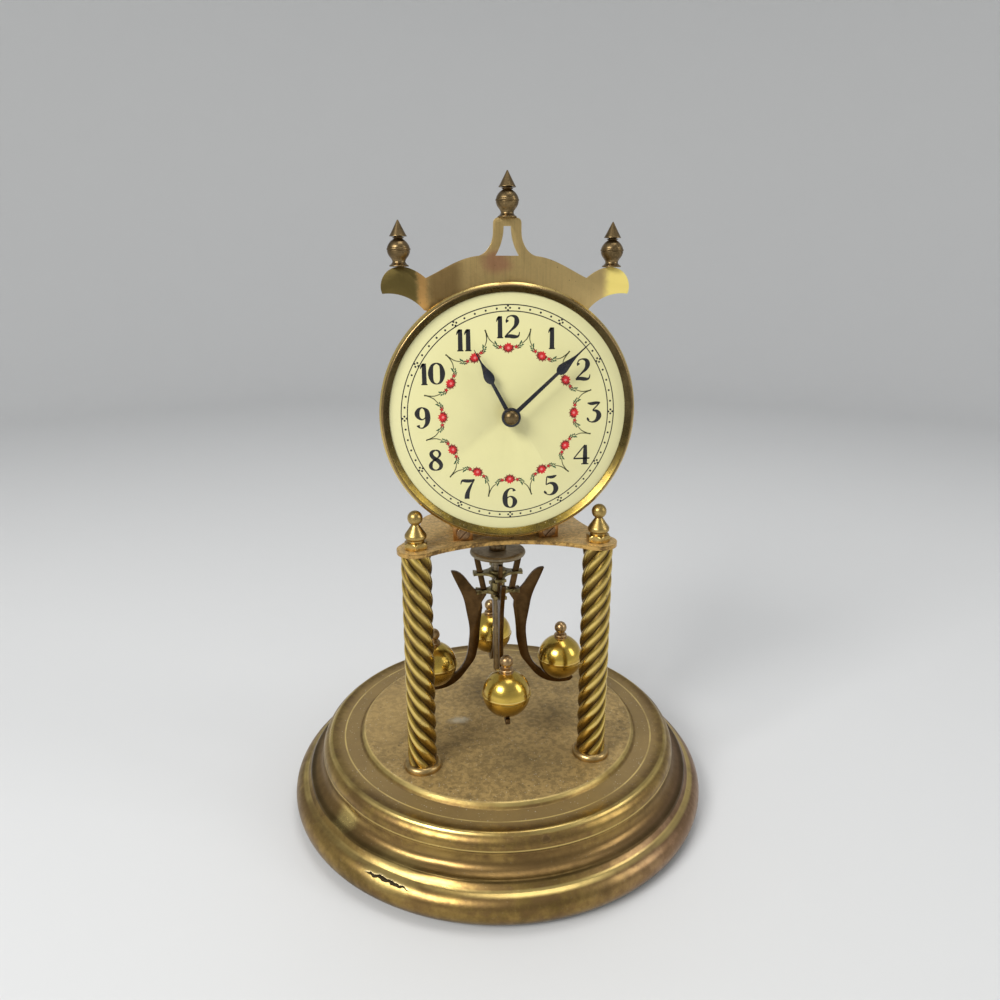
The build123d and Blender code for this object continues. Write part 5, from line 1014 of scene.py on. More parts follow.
def scatter_tree():
    """Copies of one template on points that carry a turn and a size, joined to a plain mesh."""
    tree, inp, out = geometry_tree("scatter", Template="Object", Finish="Material")
    info = node(tree, "GeometryNodeObjectInfo", {"Object": inp["Template"]}, transform_space="ORIGINAL")
    turn = node(tree, "GeometryNodeInputNamedAttribute", {"Name": "turn"}, data_type="FLOAT_VECTOR")
    size = node(tree, "GeometryNodeInputNamedAttribute", {"Name": "size"}, data_type="FLOAT")
    rotation = node(tree, "FunctionNodeEulerToRotation", {0: turn.outputs[0]}).outputs[0]
    points = node(tree, "GeometryNodeMeshToPoints", {"Mesh": inp["Geometry"]}).outputs[0]
    copies = node(tree, "GeometryNodeInstanceOnPoints", {
        "Points": points, "Instance": info.outputs["Geometry"], "Rotation": rotation,
        "Scale": size.outputs[0]})
    return end_tree(tree, copies.outputs[0], inp["Finish"], out)


def scattered(name, template, places, material):
    """One mesh of template's copies. A place is (position, euler turn, size)."""
    mesh = bpy.data.meshes.new(name + "_points")
    mesh.from_pydata([tuple(place[0]) for place in places], [], [])
    mesh.attributes.new("turn", "FLOAT_VECTOR", "POINT")
    mesh.attributes.new("size", "FLOAT", "POINT")
    for k, (_, euler, factor) in enumerate(places):
        mesh.attributes["turn"].data[k].vector = euler
        mesh.attributes["size"].data[k].value = factor
    tree = bpy.data.node_groups.get("scatter") or scatter_tree()
    source = link(name + "_template", template)
    piece = grown(name, mesh, tree, {"Template": source, "Finish": finish(material)})
    bpy.data.objects.remove(source)
    piece.data.materials.clear()
    piece.data.materials.append(finish(material))
    for face in piece.data.polygons:
        face.material_index = 0
    return piece


def sleeve_tree():
    """A rope-twisted column: a lobed section swept up a line while it turns."""
    tree, inp, out = geometry_tree(
        "twisted_sleeve", Length="Float", Radius="Float", Valley="Float", Strands="Int", Turn="Float",
        Around="Int", Along="Int", Finish="Material")
    top = node(tree, "ShaderNodeCombineXYZ", {2: inp["Length"]}).outputs[0]
    line = node(tree, "GeometryNodeCurvePrimitiveLine", {"End": top}).outputs[0]
    fine = node(tree, "GeometryNodeResampleCurve", {"Curve": line, "Count": inp["Along"]}).outputs[0]
    height = node(tree, "GeometryNodeSplineParameter").outputs["Factor"]
    tilt = calc(tree, "MULTIPLY", height, inp["Turn"])
    twisted = node(tree, "GeometryNodeSetCurveTilt", {"Curve": fine, "Tilt": tilt}).outputs[0]
    circle = node(tree, "GeometryNodeCurvePrimitiveCircle", {"Resolution": inp["Around"], "Radius": 1.0})
    share = node(tree, "GeometryNodeSplineParameter").outputs["Factor"]
    swing = calc(tree, "MULTIPLY", calc(tree, "MULTIPLY", share, math.pi), inp["Strands"])
    lobe = calc(tree, "POWER", calc(tree, "ABSOLUTE", calc(tree, "SINE", swing)), 0.85)
    rise = calc(tree, "SUBTRACT", inp["Radius"], inp["Valley"])
    radius = calc(tree, "MULTIPLY_ADD", lobe, rise, inp["Valley"])
    place = vector_calc(tree, "SCALE", node(tree, "GeometryNodeInputPosition").outputs[0])
    tree.links.new(radius, place.node.inputs["Scale"])
    lobed = node(tree, "GeometryNodeSetPosition", {"Geometry": circle.outputs[0], "Position": place})
    swept = node(tree, "GeometryNodeCurveToMesh", {"Curve": twisted, "Profile Curve": lobed.outputs[0],
                                                  "Fill Caps": True})
    return end_tree(tree, swept.outputs[0], inp["Finish"], out)


# Base

def base_line():
    """The base's outer line from the deck's middle to the rim's inner edge, in metres."""
    corners = [(r * rim_radius, z * deck_height) for r, z in base_profile_shares]
    fillets = [share * rim_radius for share in base_fillet_shares]
    line = filleted(corners, fillets)
    for index, share in base_bulge_shares.items():
        start, end = corners[index], corners[index + 1]
        near = [k for k, p in enumerate(line) if min(start[0], end[0]) <= p[0] <= max(start[0], end[0])
                and end[1] < p[1] < start[1]]
        if len(near) < 2:
            continue
        first, last = near[len(near) // 2 - 1], near[len(near) // 2]
        line[first + 1:last] = arc_points(line[first], line[last], -share * rim_radius)
    tube = rim_tube_share * rim_radius
    centre = (rim_centre_share[0] * rim_radius, rim_centre_share[1] * deck_height)
    for degrees in range(72, -91, -6):
        angle = math.radians(degrees)
        line.append((centre[0] + tube * math.cos(angle), centre[1] + tube * math.sin(angle)))
    line.append((rim_flange_share * rim_radius, centre[1] - tube))
    return line


def inner_line(line, wall):
    """The shell's inner face: the outer line moved in by the wall, from the flange back to the middle."""
    made = []
    for before, here, after in zip(line, line[1:], line[2:]):
        way = Vector(after) - Vector(before)
        if way.length < 1e-7:
            continue
        side = Vector((-way.y, way.x)).normalized() * -wall
        made.append((max(here[0] + side.x, 0.0), here[1] + side.y))
    made = [(0.0, line[0][1] - wall)] + made[1:] + [(line[-1][0], line[-1][1] + wall)]
    return made[::-1]


def knocked(co):
    """Where a point of the base goes when the rim's old knocks are pressed in."""
    radius = math.hypot(co.x, co.y)
    if radius < knock_free_radius:
        return co
    angle = math.degrees(math.atan2(co.y, co.x))
    push = sizes().dent_depth * sum(
        share * math.exp(-((angle - at) / wide) ** 2) * math.exp(-((co.z - height) / tall) ** 2)
        for at, wide, height, tall, share in rim_knocks)
    factor = (radius - push) / radius
    return Vector((co.x * factor, co.y * factor, co.z - push * knock_sink_share))


class CLOCK_OT_base(bpy.types.Operator):
    """Turns the stepped brass base and presses in its old knocks"""
    bl_idname = "clock.base"
    bl_label = "Base"

    def execute(self, context):
        line = base_line()
        mesh = turned("spun_base", line + inner_line(line, shell_wall_share * rim_radius), 384)
        for vertex in mesh.vertices:
            vertex.co = knocked(vertex.co)
        place_piece(link("spun_base", mesh), "frame", ["base_shell"], "base", 50)
        return {"FINISHED"}


class CLOCK_OT_underside(bpy.types.Operator):
    """Dresses the plates, nuts and levelling screws under the base"""
    bl_idname = "clock.underside"
    bl_label = "Underside"

    def execute(self, context):
        for name, node_name in (("deck_plate_steel", "deck_plate"), ("bottom_plate_steel", "bottom_plate"),
                                ("base_nuts", "base_fasteners"), ("tie_rod_steel", "tie_rods")):
            dressed(name, node_name, "frame", "dark_steel", "steel")
        for place in ("front_left", "front_right", "rear"):
            dressed("levelling_foot_" + place, "levelling_screw_" + place, "leveller_" + place,
                    "plate_brass", "wheel", 0.0001)
        return {"FINISHED"}


# Pillars

class CLOCK_OT_pillars(bpy.types.Operator):
    """Grows the two rope-twisted pillars, mirrored in hand, and turns their flanges and caps"""
    bl_idname = "clock.pillars"
    bl_label = "Pillars"

    def execute(self, context):
        s = sizes()
        tree = sleeve_tree()
        length = pillar_high.z - pillar_low.z
        for name, hand in (("left", -1), ("right", 1)):
            turn = hand * 2 * math.pi * length / s.pillar_pitch
            seed = bpy.data.meshes.new("sleeve_seed")
            piece = grown("twisted_pillar_" + name, seed, tree, {
                "Length": length, "Radius": s.pillar_radius, "Valley": s.pillar_valley, "Strands": s.strands,
                "Turn": turn, "Around": 120, "Along": 300, "Finish": finish("pillar_" + name)})
            piece.data.transform(Matrix.Translation((hand * pillar_x, pillar_y, pillar_low.z)))
            place_piece(piece, "frame", ["pillar_" + name], None, 60)
        self.flanges()
        self.caps()
        return {"FINISHED"}

    def flanges(self):
        low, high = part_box("pillar_foot_flanges")
        radius = (high.y - low.y) / 2
        profile = scaled_profile(flange_profile_shares, radius, high.z - low.z)
        line = filleted(profile, [radius * 0.05] * len(profile), 3)
        meshes = [turned("flange", line, 96, seat=Matrix.Translation((hand * pillar_x, pillar_y, low.z)))
                  for hand in (-1, 1)]
        joined_piece("foot_flanges", meshes, ["pillar_foot_flanges"], "flange", 50)

    def caps(self):
        """Six-sided nut, cone and ball over each pillar."""
        low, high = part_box("pillar_caps")
        flats = (high.y - low.y) / 2
        height = high.z - low.z
        ball = flats * cap_ball_share
        throat = flats * cap_throat_share
        top = height - 2 * ball + (ball - math.sqrt(ball ** 2 - throat ** 2))
        start = math.asin((top - (height - ball)) / ball)
        cone = scaled_profile(cap_profile_shares, flats * cap_width_share, height) + [(throat, top)]
        for k in range(1, 24):
            angle = start + (math.pi / 2 - start) * k / 24
            cone.append((ball * math.cos(angle), height - ball + ball * math.sin(angle)))
        cone.append((0.0, height))
        line = filleted(cone, [flats * 0.05] * len(cone), 3)
        meshes = []
        for hand in (-1, 1):
            seat = Matrix.Translation((hand * pillar_x, pillar_y, low.z))
            meshes += [hexagon_mesh(flats, height * cap_nut_share, seat), turned("cap", line, 96, seat=seat)]
        joined_piece("pillar_cap_nuts", meshes, ["pillar_caps"], "cap", 40)


def hexagon_mesh(flats, height, seat):
    """A six-sided nut with its corners turned off top and bottom."""
    corner = flats / math.cos(math.pi / 6)
    around = 96
    bm = bmesh.new()
    rings = []
    for share, lift in ((0.0, 0.0), (0.985, 0.0), (1.1, 0.16), (1.1, 0.84), (0.985, 1.0), (0.0, 1.0)):
        ring = []
        for k in range(around):
            angle = 2 * math.pi * k / around
            reach = flats / math.cos((angle + math.pi / 6) % (math.pi / 3) - math.pi / 6)
            radius = min(reach, flats * share + (corner - flats) * max(share - 1.0, 0) * 3)
            ring.append(bm.verts.new((radius * math.cos(angle), radius * math.sin(angle), lift * height)))
        rings.append(ring)
    for low, high in zip(rings, rings[1:]):
        for k in range(around):
            after = (k + 1) % around
            bm.faces.new([low[k], low[after], high[after], high[k]])
    bmesh.ops.remove_doubles(bm, verts=bm.verts, dist=1e-7)
    bmesh.ops.recalc_face_normals(bm, faces=bm.faces)
    bmesh.ops.transform(bm, matrix=seat, verts=bm.verts)
    return poured("hexagon", bm)


# Movement

class CLOCK_OT_movement(bpy.types.Operator):
    """Dresses the platform, the movement's plates, pillars and posts"""
    bl_idname = "clock.movement"
    bl_label = "Movement frame"

    def execute(self, context):
        for name, node_name, slot, material, *bevel in (
                ("platform_top", "platform", "copper_brass", "platform", 0.00025),
                ("movement_front_plate", "front_plate", "plate_brass", "leg"),
                ("movement_back_plate", "back_plate", "plate_brass", "plate"),
                ("movement_bars", "movement_pillars", "plate_brass", "wheel"),
                ("dial_feet", "front_posts", "plate_brass", "wheel", 0.0001),
                ("anchor_bridge", "anchor_cock", "plate_brass", "plate"),
                ("suspension_bridge", "suspension_bracket", "plate_brass", "plate"),
                ("top_clamp", "suspension_top_block", "plate_brass", "wheel"),
                ("hanging_strip", "suspension_strip", "spring_steel", "spring", 0),
                ("click_leaf", "click_spring", "spring_steel", "spring", 0.00005)):
            dressed(name, node_name, "frame", slot, material, *bevel)
        dressed("strip_fork", "suspension_fork", "fork_group", "plate_brass", "wheel", 0.00005)
        return {"FINISHED"}


class CLOCK_OT_train(bpy.types.Operator):
    """Dresses the wheels, pinions, barrel and escapement"""
    bl_idname = "clock.train"
    bl_label = "Wheel train"

    def execute(self, context):
        for name, node_name, body, slot, material in (
                ("great_wheel", "barrel", "barrel_group", "plate_brass", "wheel"),
                ("barrel_lid", "barrel_cap", "barrel_group", "plate_brass", "plate"),
                ("coiled_mainspring", "mainspring", "barrel_group", "spring_steel", "spring"),
                ("winding_square", "winding_arbor", "winding_group", "dark_steel", "steel"),
                ("ratchet", "ratchet_wheel", "winding_group", "dark_steel", "steel"),
                ("click_pawl_steel", "click", "click_pawl", "dark_steel", "steel"),
                ("first_train_wheel", "first_wheel", "first_wheel_group", "plate_brass", "wheel"),
                ("second_train_wheel", "second_wheel", "second_wheel_group", "plate_brass", "wheel"),
                ("centre_train_wheel", "centre_wheel", "centre_group", "plate_brass", "wheel"),
                ("escape_train_wheel", "escape_wheel", "escape_group", "plate_brass", "wheel"),
                ("anchor_pallets", "anchor", "anchor_group", "dark_steel", "steel"),
                ("cannon_pipe", "cannon_pinion", "centre_group", "dark_steel", "steel"),
                ("motion_minute_wheel", "minute_wheel", "minute_wheel_group", "plate_brass", "wheel"),
                ("motion_hour_wheel", "hour_wheel", "hour_group", "plate_brass", "wheel")):
            dressed(name, node_name, body, slot, material, 0.00004, 30, 50)
        return {"FINISHED"}


# Screws

def screw_mesh(radius, height, slot_width, slot_depth, slot_angle):
    """A cheese-head screw's head, edge rounded and slot cut, standing on the XY plane."""
    line = filleted([(0.0, 0.0), (radius, 0.0), (radius, height), (0.0, height * 1.06)],
                    [0, radius * 0.04, radius * 0.16], 3)
    head = link("screw_head", turned("screw_head", line, 48))
    bm = bmesh.new()
    bmesh.ops.create_cube(bm, size=1.0)
    bmesh.ops.scale(bm, vec=(radius * 3, slot_width, slot_depth * 2), verts=bm.verts)
    bmesh.ops.translate(bm, vec=(0, 0, height), verts=bm.verts)
    bmesh.ops.rotate(bm, matrix=Matrix.Rotation(slot_angle, 3, "Z"), verts=bm.verts)
    cutter = link("slot", poured("slot", bm))
    cut = head.modifiers.new("slot", "BOOLEAN")
    cut.object = cutter
    cut.operation = "DIFFERENCE"
    apply_modifiers(head)
    mesh = head.data
    bpy.data.objects.remove(cutter)
    bpy.data.objects.remove(head)
    return mesh


class CLOCK_OT_screws(bpy.types.Operator):
    """Sets a slotted head on every screw of the movement, by the place of its CAD head"""
    bl_idname = "clock.screws"
    bl_label = "Screws"

    def execute(self, context):
        template = screw_mesh(0.5, 0.25, 0.13, 0.12, math.radians(45))
        for node_name in ("movement_screws", "small_screws"):
            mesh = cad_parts[node_name].data
            places = [head_axis(mesh, low, high) for low, high in loose_boxes(mesh)]
            piece = scattered(node_name + "_heads", template.copy(), places, "screw")
            place_piece(piece, "frame", [node_name], None, 40)
        return {"FINISHED"}


def loose_boxes(mesh):
    """The corners of each separate solid in a mesh."""
    bm = bmesh.new()
    bm.from_mesh(mesh)
    bmesh.ops.remove_doubles(bm, verts=bm.verts, dist=weld_distance)
    seen = set()
    boxes = []
    for start in bm.verts:
        if start.index in seen:
            continue
        stack = [start]
        seen.add(start.index)
        points = []
        while stack:
            here = stack.pop()
            points.append(here.co.copy())
            for edge in here.link_edges:
                other = edge.other_vert(here)
                if other.index not in seen:
                    seen.add(other.index)
                    stack.append(other)
        boxes.append((Vector([min(p[k] for p in points) for k in range(3)]),
                      Vector([max(p[k] for p in points) for k in range(3)])))
    bm.free()
    return boxes


def head_axis(mesh, low, high):
    """Where a screw's head seats and which way it faces: (seat point, euler turn, size)."""
    spans = high - low
    along = max(range(3), key=lambda k: min(abs(spans[k] - spans[j]) for j in range(3) if j != k))
    others = [k for k in range(3) if k != along]
    across = max(spans[k] for k in others)
    middle = (low + high) / 2
    inside = [v.co for v in mesh.vertices
              if all(low[k] - weld_distance <= v.co[k] <= high[k] + weld_distance for k in range(3))]
    ends = [co[along] for co in inside
            if sum((co[k] - middle[k]) ** 2 for k in others) > (across * 0.45) ** 2]
    outward = 1 if sum(ends) / len(ends) > middle[along] else -1
    seat = middle.copy()
    seat[along] = min(ends) if outward > 0 else max(ends)
    turns = {(0, 1): (0, math.pi / 2, 0), (0, -1): (0, -math.pi / 2, 0), (1, -1): (math.pi / 2, 0, 0),
             (1, 1): (-math.pi / 2, 0, 0), (2, 1): (0, 0, 0), (2, -1): (math.pi, 0, 0)}
    return seat, turns[(along, outward)], across


# Dial

def dial_seat(x, z, turn=0.0):
    """A matrix that stands a flat XY drawing on the dial's face."""
    return (Matrix.Translation((0, dial_face, dial_z)) @ Matrix.Rotation(dial_turn, 4, "Y")
            @ Matrix.Translation((x, 0, z)) @ Matrix.Rotation(turn, 4, "Y")
            @ Matrix.Rotation(math.pi / 2, 4, "X"))


def ribbon(bm, line, thickness):
    """A flat stroke of varied width along a line of (x, y, half width), raised by thickness."""
    left, right = [], []
    for k, (x, y, half) in enumerate(line):
        before = Vector(line[max(k - 1, 0)][:2])
        after = Vector(line[min(k + 1, len(line) - 1)][:2])
        way = after - before
        if way.length < 1e-9:
            way = Vector((1, 0))
        side = Vector((-way.y, way.x)).normalized() * half
        left.append((x + side.x, y + side.y))
        right.append((x - side.x, y - side.y))
    rings = []
    for a, b in zip(left, right):
        rings.append([bm.verts.new((a[0], a[1], 0)), bm.verts.new((b[0], b[1], 0)),
                      bm.verts.new((b[0], b[1], thickness)), bm.verts.new((a[0], a[1], thickness))])
    for low, high in zip(rings, rings[1:]):
        for k in range(4):
            bm.faces.new([low[k], low[(k + 1) % 4], high[(k + 1) % 4], high[k]])
    bm.faces.new(rings[0][::-1])
    bm.faces.new(rings[-1])


def blot(bm, x, y, radius, thickness, sides=10, petals=0, depth=0.0, turn=0.0):
    """A flat round or petalled spot, raised by thickness."""
    count = max(sides, petals * 4)
    low, high = [], []
    for k in range(count):
        angle = 2 * math.pi * k / count
        reach = radius * (1 - depth * (0.5 + 0.5 * math.cos(petals * angle))) if petals else radius
        co = (x + reach * math.cos(angle + turn), y + reach * math.sin(angle + turn))
        low.append(bm.verts.new((*co, 0)))
        high.append(bm.verts.new((*co, thickness)))
    for k in range(count):
        after = (k + 1) % count
        bm.faces.new([low[k], low[after], high[after], high[k]])
    bm.faces.new(low[::-1])
    bm.faces.new(high)


def drawn_mesh(name, draw):
    """A mesh that a function draws."""
    bm = bmesh.new()
    draw(bm)
    bmesh.ops.recalc_face_normals(bm, faces=bm.faces)
    return poured(name, bm)


def numeral_mesh(text, height, thickness):
    """Bold figures drawn stroke by stroke, centred on their place."""
    def draw(bm):
        room = sum(figure_widths_shares[figure][2] for figure in text) + figure_gap_share * (len(text) - 1)
        left = -room / 2
        for figure in text:
            middle, stretch, width = figure_widths_shares[figure]
            shift = left + width / 2
            for stroke in figure_strokes_shares[figure]:
                line = [(((x - middle) * stretch + shift) * height, (y - 0.5) * height,
                         w * stroke_weight * height) for x, y, w in smooth_line(stroke, 7)]
                ribbon(bm, line, thickness)
            left += width + figure_gap_share
    return drawn_mesh("figure_" + text, draw)


def clock_place(hour, radius):
    """The point of the dial at an hour, as (x, z)."""
    angle = 2 * math.pi * hour / 12
    return radius * math.sin(angle), radius * math.cos(angle)


class CLOCK_OT_dial(bpy.types.Operator):
    """Enamels the dial and prints its figures, rings and minute dots"""
    bl_idname = "clock.dial"
    bl_label = "Dial"

    def execute(self, context):
        dressed("enamel_dial", "dial", "frame", "dial_enamel", "enamel", 0.00008)
        thickness = dial_radius * print_thickness_share
        height = sizes().numeral_height
        meshes = []
        for hour in range(1, 13):
            mesh = numeral_mesh(str(hour), height, thickness)
            x, z = clock_place(hour, dial_radius * numeral_ring_share)
            mesh.transform(dial_seat(x, z, -dial_turn * 0.5))
            meshes.append(mesh)
        joined_piece("dial_figures", meshes, [], "ink", 30)
        self.rings(thickness)
        self.dots(thickness)
        return {"FINISHED"}

    def rings(self, thickness):
        half = dial_radius * ring_line_share / 2
        meshes = []
        for share in ring_shares:
            r = dial_radius * share
            profile = [(r - half, 0.0), (r + half, 0.0), (r + half, thickness), (r - half, thickness)]
            meshes.append(turned("ring", profile, 256, True, dial_seat(0, 0)))
        joined_piece("dial_rings", meshes, [], "ink", 30)

    def dots(self, thickness):
        radius = dial_radius * dot_share
        reach = dial_radius * cross_reach_share
        template = drawn_mesh("dot", lambda bm: blot(bm, 0, 0, radius, thickness, 12))
        places = []
        for minute in range(60):
            x, z = clock_place(minute / 5, dial_radius * cross_ring_share)
            spots = [(0.0, 0.0)]
            if minute % 5 == 0:
                spots = [(reach, 0.0), (-reach, 0.0), (0.0, reach), (0.0, -reach)]
            for across, up in spots:
                seat = dial_seat(x, z, 2 * math.pi * minute / 60)
                places.append((seat @ Vector((across, up, 0)), (math.pi / 2, 0, 0), 1.0))
        piece = scattered("dial_minute_dots", template, places, "ink")
        place_piece(piece, "frame", [], None, 30)


class CLOCK_OT_garland(bpy.types.Operator):
    """Prints the flower garland inside the dial's figures"""
    bl_idname = "clock.garland"
    bl_label = "Garland"

    def execute(self, context):
        thickness = dial_radius * print_thickness_share
        seats = [dial_seat(0, 0, 2 * math.pi * hour / 12) for hour in range(12)]
        places = [(seat.translation, seat.to_euler(), 1.0) for seat in seats]
        for name, draw, material, lift in (
                ("stems", self.stem, "stem", 1.0), ("leaves", self.leaves, "leaf", 1.1),
                ("sepals", self.sepals, "bud", 1.2), ("flowers", self.flowers, "blossom", 1.5),
                ("hearts", self.heart, "heart", 1.9)):
            template = drawn_mesh("garland_" + name + "_one",
                                  lambda bm, draw=draw, lift=lift: draw(bm, thickness * lift))
            piece = scattered("garland_" + name, template, places, material)
            place_piece(piece, "frame", [], None, 30)
        return {"FINISHED"}

    def scallop(self):
        """Half of one scallop, from the last leaf to the cusp, as (x, y)."""
        r = dial_radius
        x, y = clock_place(0.5, r * cusp_ring_share)
        return [(r * 0.108, r * 0.5600), (r * 0.146, r * 0.5935), (x * 0.955, y * 0.966), (x, y)]

    def stem(self, bm, thickness):
        width = dial_radius * 0.0036
        for side in (-1, 1):
            line = [(side * x, y) for x, y in smooth_line(self.scallop(), 8)]
            ribbon(bm, [(x, y, width * (0.8 + 0.6 * k / len(line))) for k, (x, y) in enumerate(line)],
                   thickness)
        x, y = self.scallop()[-1]
        blot(bm, x, y + dial_radius * 0.006, dial_radius * 0.0066, thickness, 12)

    def leaves(self, bm, thickness):
        """Small pointed leaves in pairs along the garland's string."""
        for side in (-1, 1):
            for x, y, turn, size in leaf_shares:
                angle = turn if side > 0 else math.pi - turn
                half = dial_radius * 0.0062 * size
                cx, cy = side * x * dial_radius, y * dial_radius
                tip = (cx + 2.0 * half * math.cos(angle), cy + 2.0 * half * math.sin(angle))
                tail = (cx - 1.6 * half * math.cos(angle), cy - 1.6 * half * math.sin(angle))
                line = [(*tail, half * 0.2), (cx, cy, half * 0.9), (*tip, half * 0.12)]
                ribbon(bm, smooth_line(line, 4), thickness)

    def sepals(self, bm, thickness):
        """Brown pointed sepals under the flower and the diamond buds beside it."""
        r = dial_radius
        y = r * blossom_ring_share
        for k in range(15):
            angle = math.radians(-205 + 230 * k / 14)
            reach = r * (0.0530 if k % 2 else 0.0460)
            cos, sin = math.cos(angle), math.sin(angle)
            ribbon(bm, [(cos * reach * 0.40, y + sin * reach * 0.36, r * 0.0070),
                        (cos * reach * 0.76, y + sin * reach * 0.68, r * 0.0050),
                        (cos * reach, y + sin * reach * 0.88, r * 0.0012)], thickness)
        for side in (-r, r):
            blot(bm, side * 0.0630, y + r * 0.0050, r * 0.0190, thickness, 8, 5, 0.48, math.pi / 4)
            blot(bm, side * 0.0790, y + r * 0.0150, r * 0.0060, thickness, 8)
            blot(bm, side * 0.0800, y - r * 0.0050, r * 0.0060, thickness, 8)

    def flowers(self, bm, thickness):
        r = dial_radius
        blot(bm, 0.0, r * (blossom_ring_share + 0.004), r * 0.0365, thickness, 10, 9, 0.34)
        for side in (-r, r):
            blot(bm, side * 0.0610, r * (blossom_ring_share + 0.0045), r * 0.0095, thickness, 8)

    def heart(self, bm, thickness):
        r = dial_radius
        blot(bm, 0.0, r * (blossom_ring_share - 0.003), r * 0.0120, thickness, 10, 5, 0.25)


class CLOCK_OT_bezel(bpy.types.Operator):
    """Rolls the bezel ring round the dial"""
    bl_idname = "clock.bezel"
    bl_label = "Bezel"

    def execute(self, context):
        low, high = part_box("bezel")
        outer = (high.x - low.x) / 2
        inner = outer * bezel_inner_share
        wall = outer - outer * bezel_wall_share
        front, back = dial_face - low.y, dial_face - high.y
        dial_gap = 0.0002
        corners = [(outer, back), (outer, front * 0.40), (outer * 0.976, front),
                   (outer * 0.966, front * 0.97), (inner, front * 0.18), (inner, dial_gap),
                   (wall, dial_gap), (wall, back)]
        line = filleted(corners, [0, 0.0004, 0.0011, 0.0006, 0.0003, 0, 0, 0], 6)
        mesh = turned("bezel_ring", line, 256, True, front_seat(dial_face))
        place_piece(link("bezel_ring", mesh), "frame", ["bezel"], "bezel", 50)
        return {"FINISHED"}


class CLOCK_OT_hands(bpy.types.Operator):
    """Dresses the two pear-shaped hands and turns the hand nut"""
    bl_idname = "clock.hands"
    bl_label = "Hands"

    def execute(self, context):
        dressed("hour_hand_black", "hour_hand", "hour_group", "blued_steel", "hand", 0.00009)
        dressed("minute_hand_black", "minute_hand", "centre_group", "blued_steel", "hand", 0.00009)
        low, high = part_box("hand_nut")
        radius = (high.x - low.x) / 2
        line = scaled_profile(hand_nut_profile_shares, radius, high.y - low.y)
        line = filleted(line, [radius * 0.10] * len(line), 3)
        mesh = turned("hand_cap", line, 64, seat=front_seat(high.y))
        place_piece(link("hand_cap", mesh), "centre_group", ["hand_nut"], "nut", 50)
        return {"FINISHED"}


class CLOCK_OT_fret(bpy.types.Operator):
    """Dresses the scrolled fret and turns its three finials"""
    bl_idname = "clock.fret"
    bl_label = "Fret and finials"

    def execute(self, context):
        dressed("scrolled_fret", "fret", "frame", "bright_brass", "fret", 0.00022)
        boxes = sorted(loose_boxes(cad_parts["fret_finials"].data), key=lambda pair: pair[0].x)
        meshes = []
        for low, high in boxes:
            height = high.z - low.z
            line = scaled_profile(finial_profile_shares, finial_width_share * height, height)
            line = [(0.0, 0.0)] + smooth_line(line, 4) + [(0.0, height)]
            seat = Matrix.Translation(((low.x + high.x) / 2, (low.y + high.y) / 2, low.z))
            meshes.append(turned("finial", line, 96, seat=seat))
        joined_piece("turned_finials", meshes, ["fret_finials"], "finial", 35)
        return {"FINISHED"}


# Pendulum

class CLOCK_OT_pendulum(bpy.types.Operator):
    """Turns the regulating disc and dresses the pendulum's rod, stars, arms and hook"""
    bl_idname = "clock.pendulum"
    bl_label = "Pendulum"

    def execute(self, context):
        radius = (disc_high.x - disc_low.x) / 2
        thickness = radius * disc_thickness_share
        sleeve = radius * disc_sleeve_share
        line = scaled_profile(disc_profile_shares, radius, thickness, disc_high.z - thickness)
        line.append((sleeve, disc_high.z - thickness * 0.97))
        grooves = 9
        bottom = disc_low.z
        length = line[-1][1] - bottom
        for k in range(grooves):
            top = line[-1][1] if k == 0 else bottom + length * (1 - k / grooves)
            line += [(sleeve, top - length / grooves * 0.35), (sleeve * 0.93, top - length / grooves * 0.6)]
        line += [(sleeve, bottom), (0.0, bottom)]
        mesh = turned("regulating_disc_turned", filleted(line, [radius * 0.012] * len(line), 2), 128)
        piece = link("regulating_disc_turned", mesh)
        place_piece(piece, "regulator", ["regulating_disc"], "disc", 45)
        dressed("star_nut_plate", "star_nut", "star_nut_group", "plate_brass", "star", 0.00012)
        dressed("lower_star", "pendulum_star", "pendulum", "antique_brass", "star", 0.00012)
        dressed("hook_cap", "pendulum_hook", "pendulum", "antique_brass", "rod", 0.00015)
        dressed("lower_clamp", "suspension_bottom_block", "pendulum", "plate_brass", "wheel", 0.00015)
        dressed("pendulum_spindle", "pendulum_rod", "pendulum", "antique_brass", "rod", 0.0001)
        for side in ("right", "rear", "left", "front"):
            dressed("bowed_arm_" + side, "pendulum_arm_" + side, "arm_" + side, "dark_bronze", "arm",
                    0.00016)
        return {"FINISHED"}


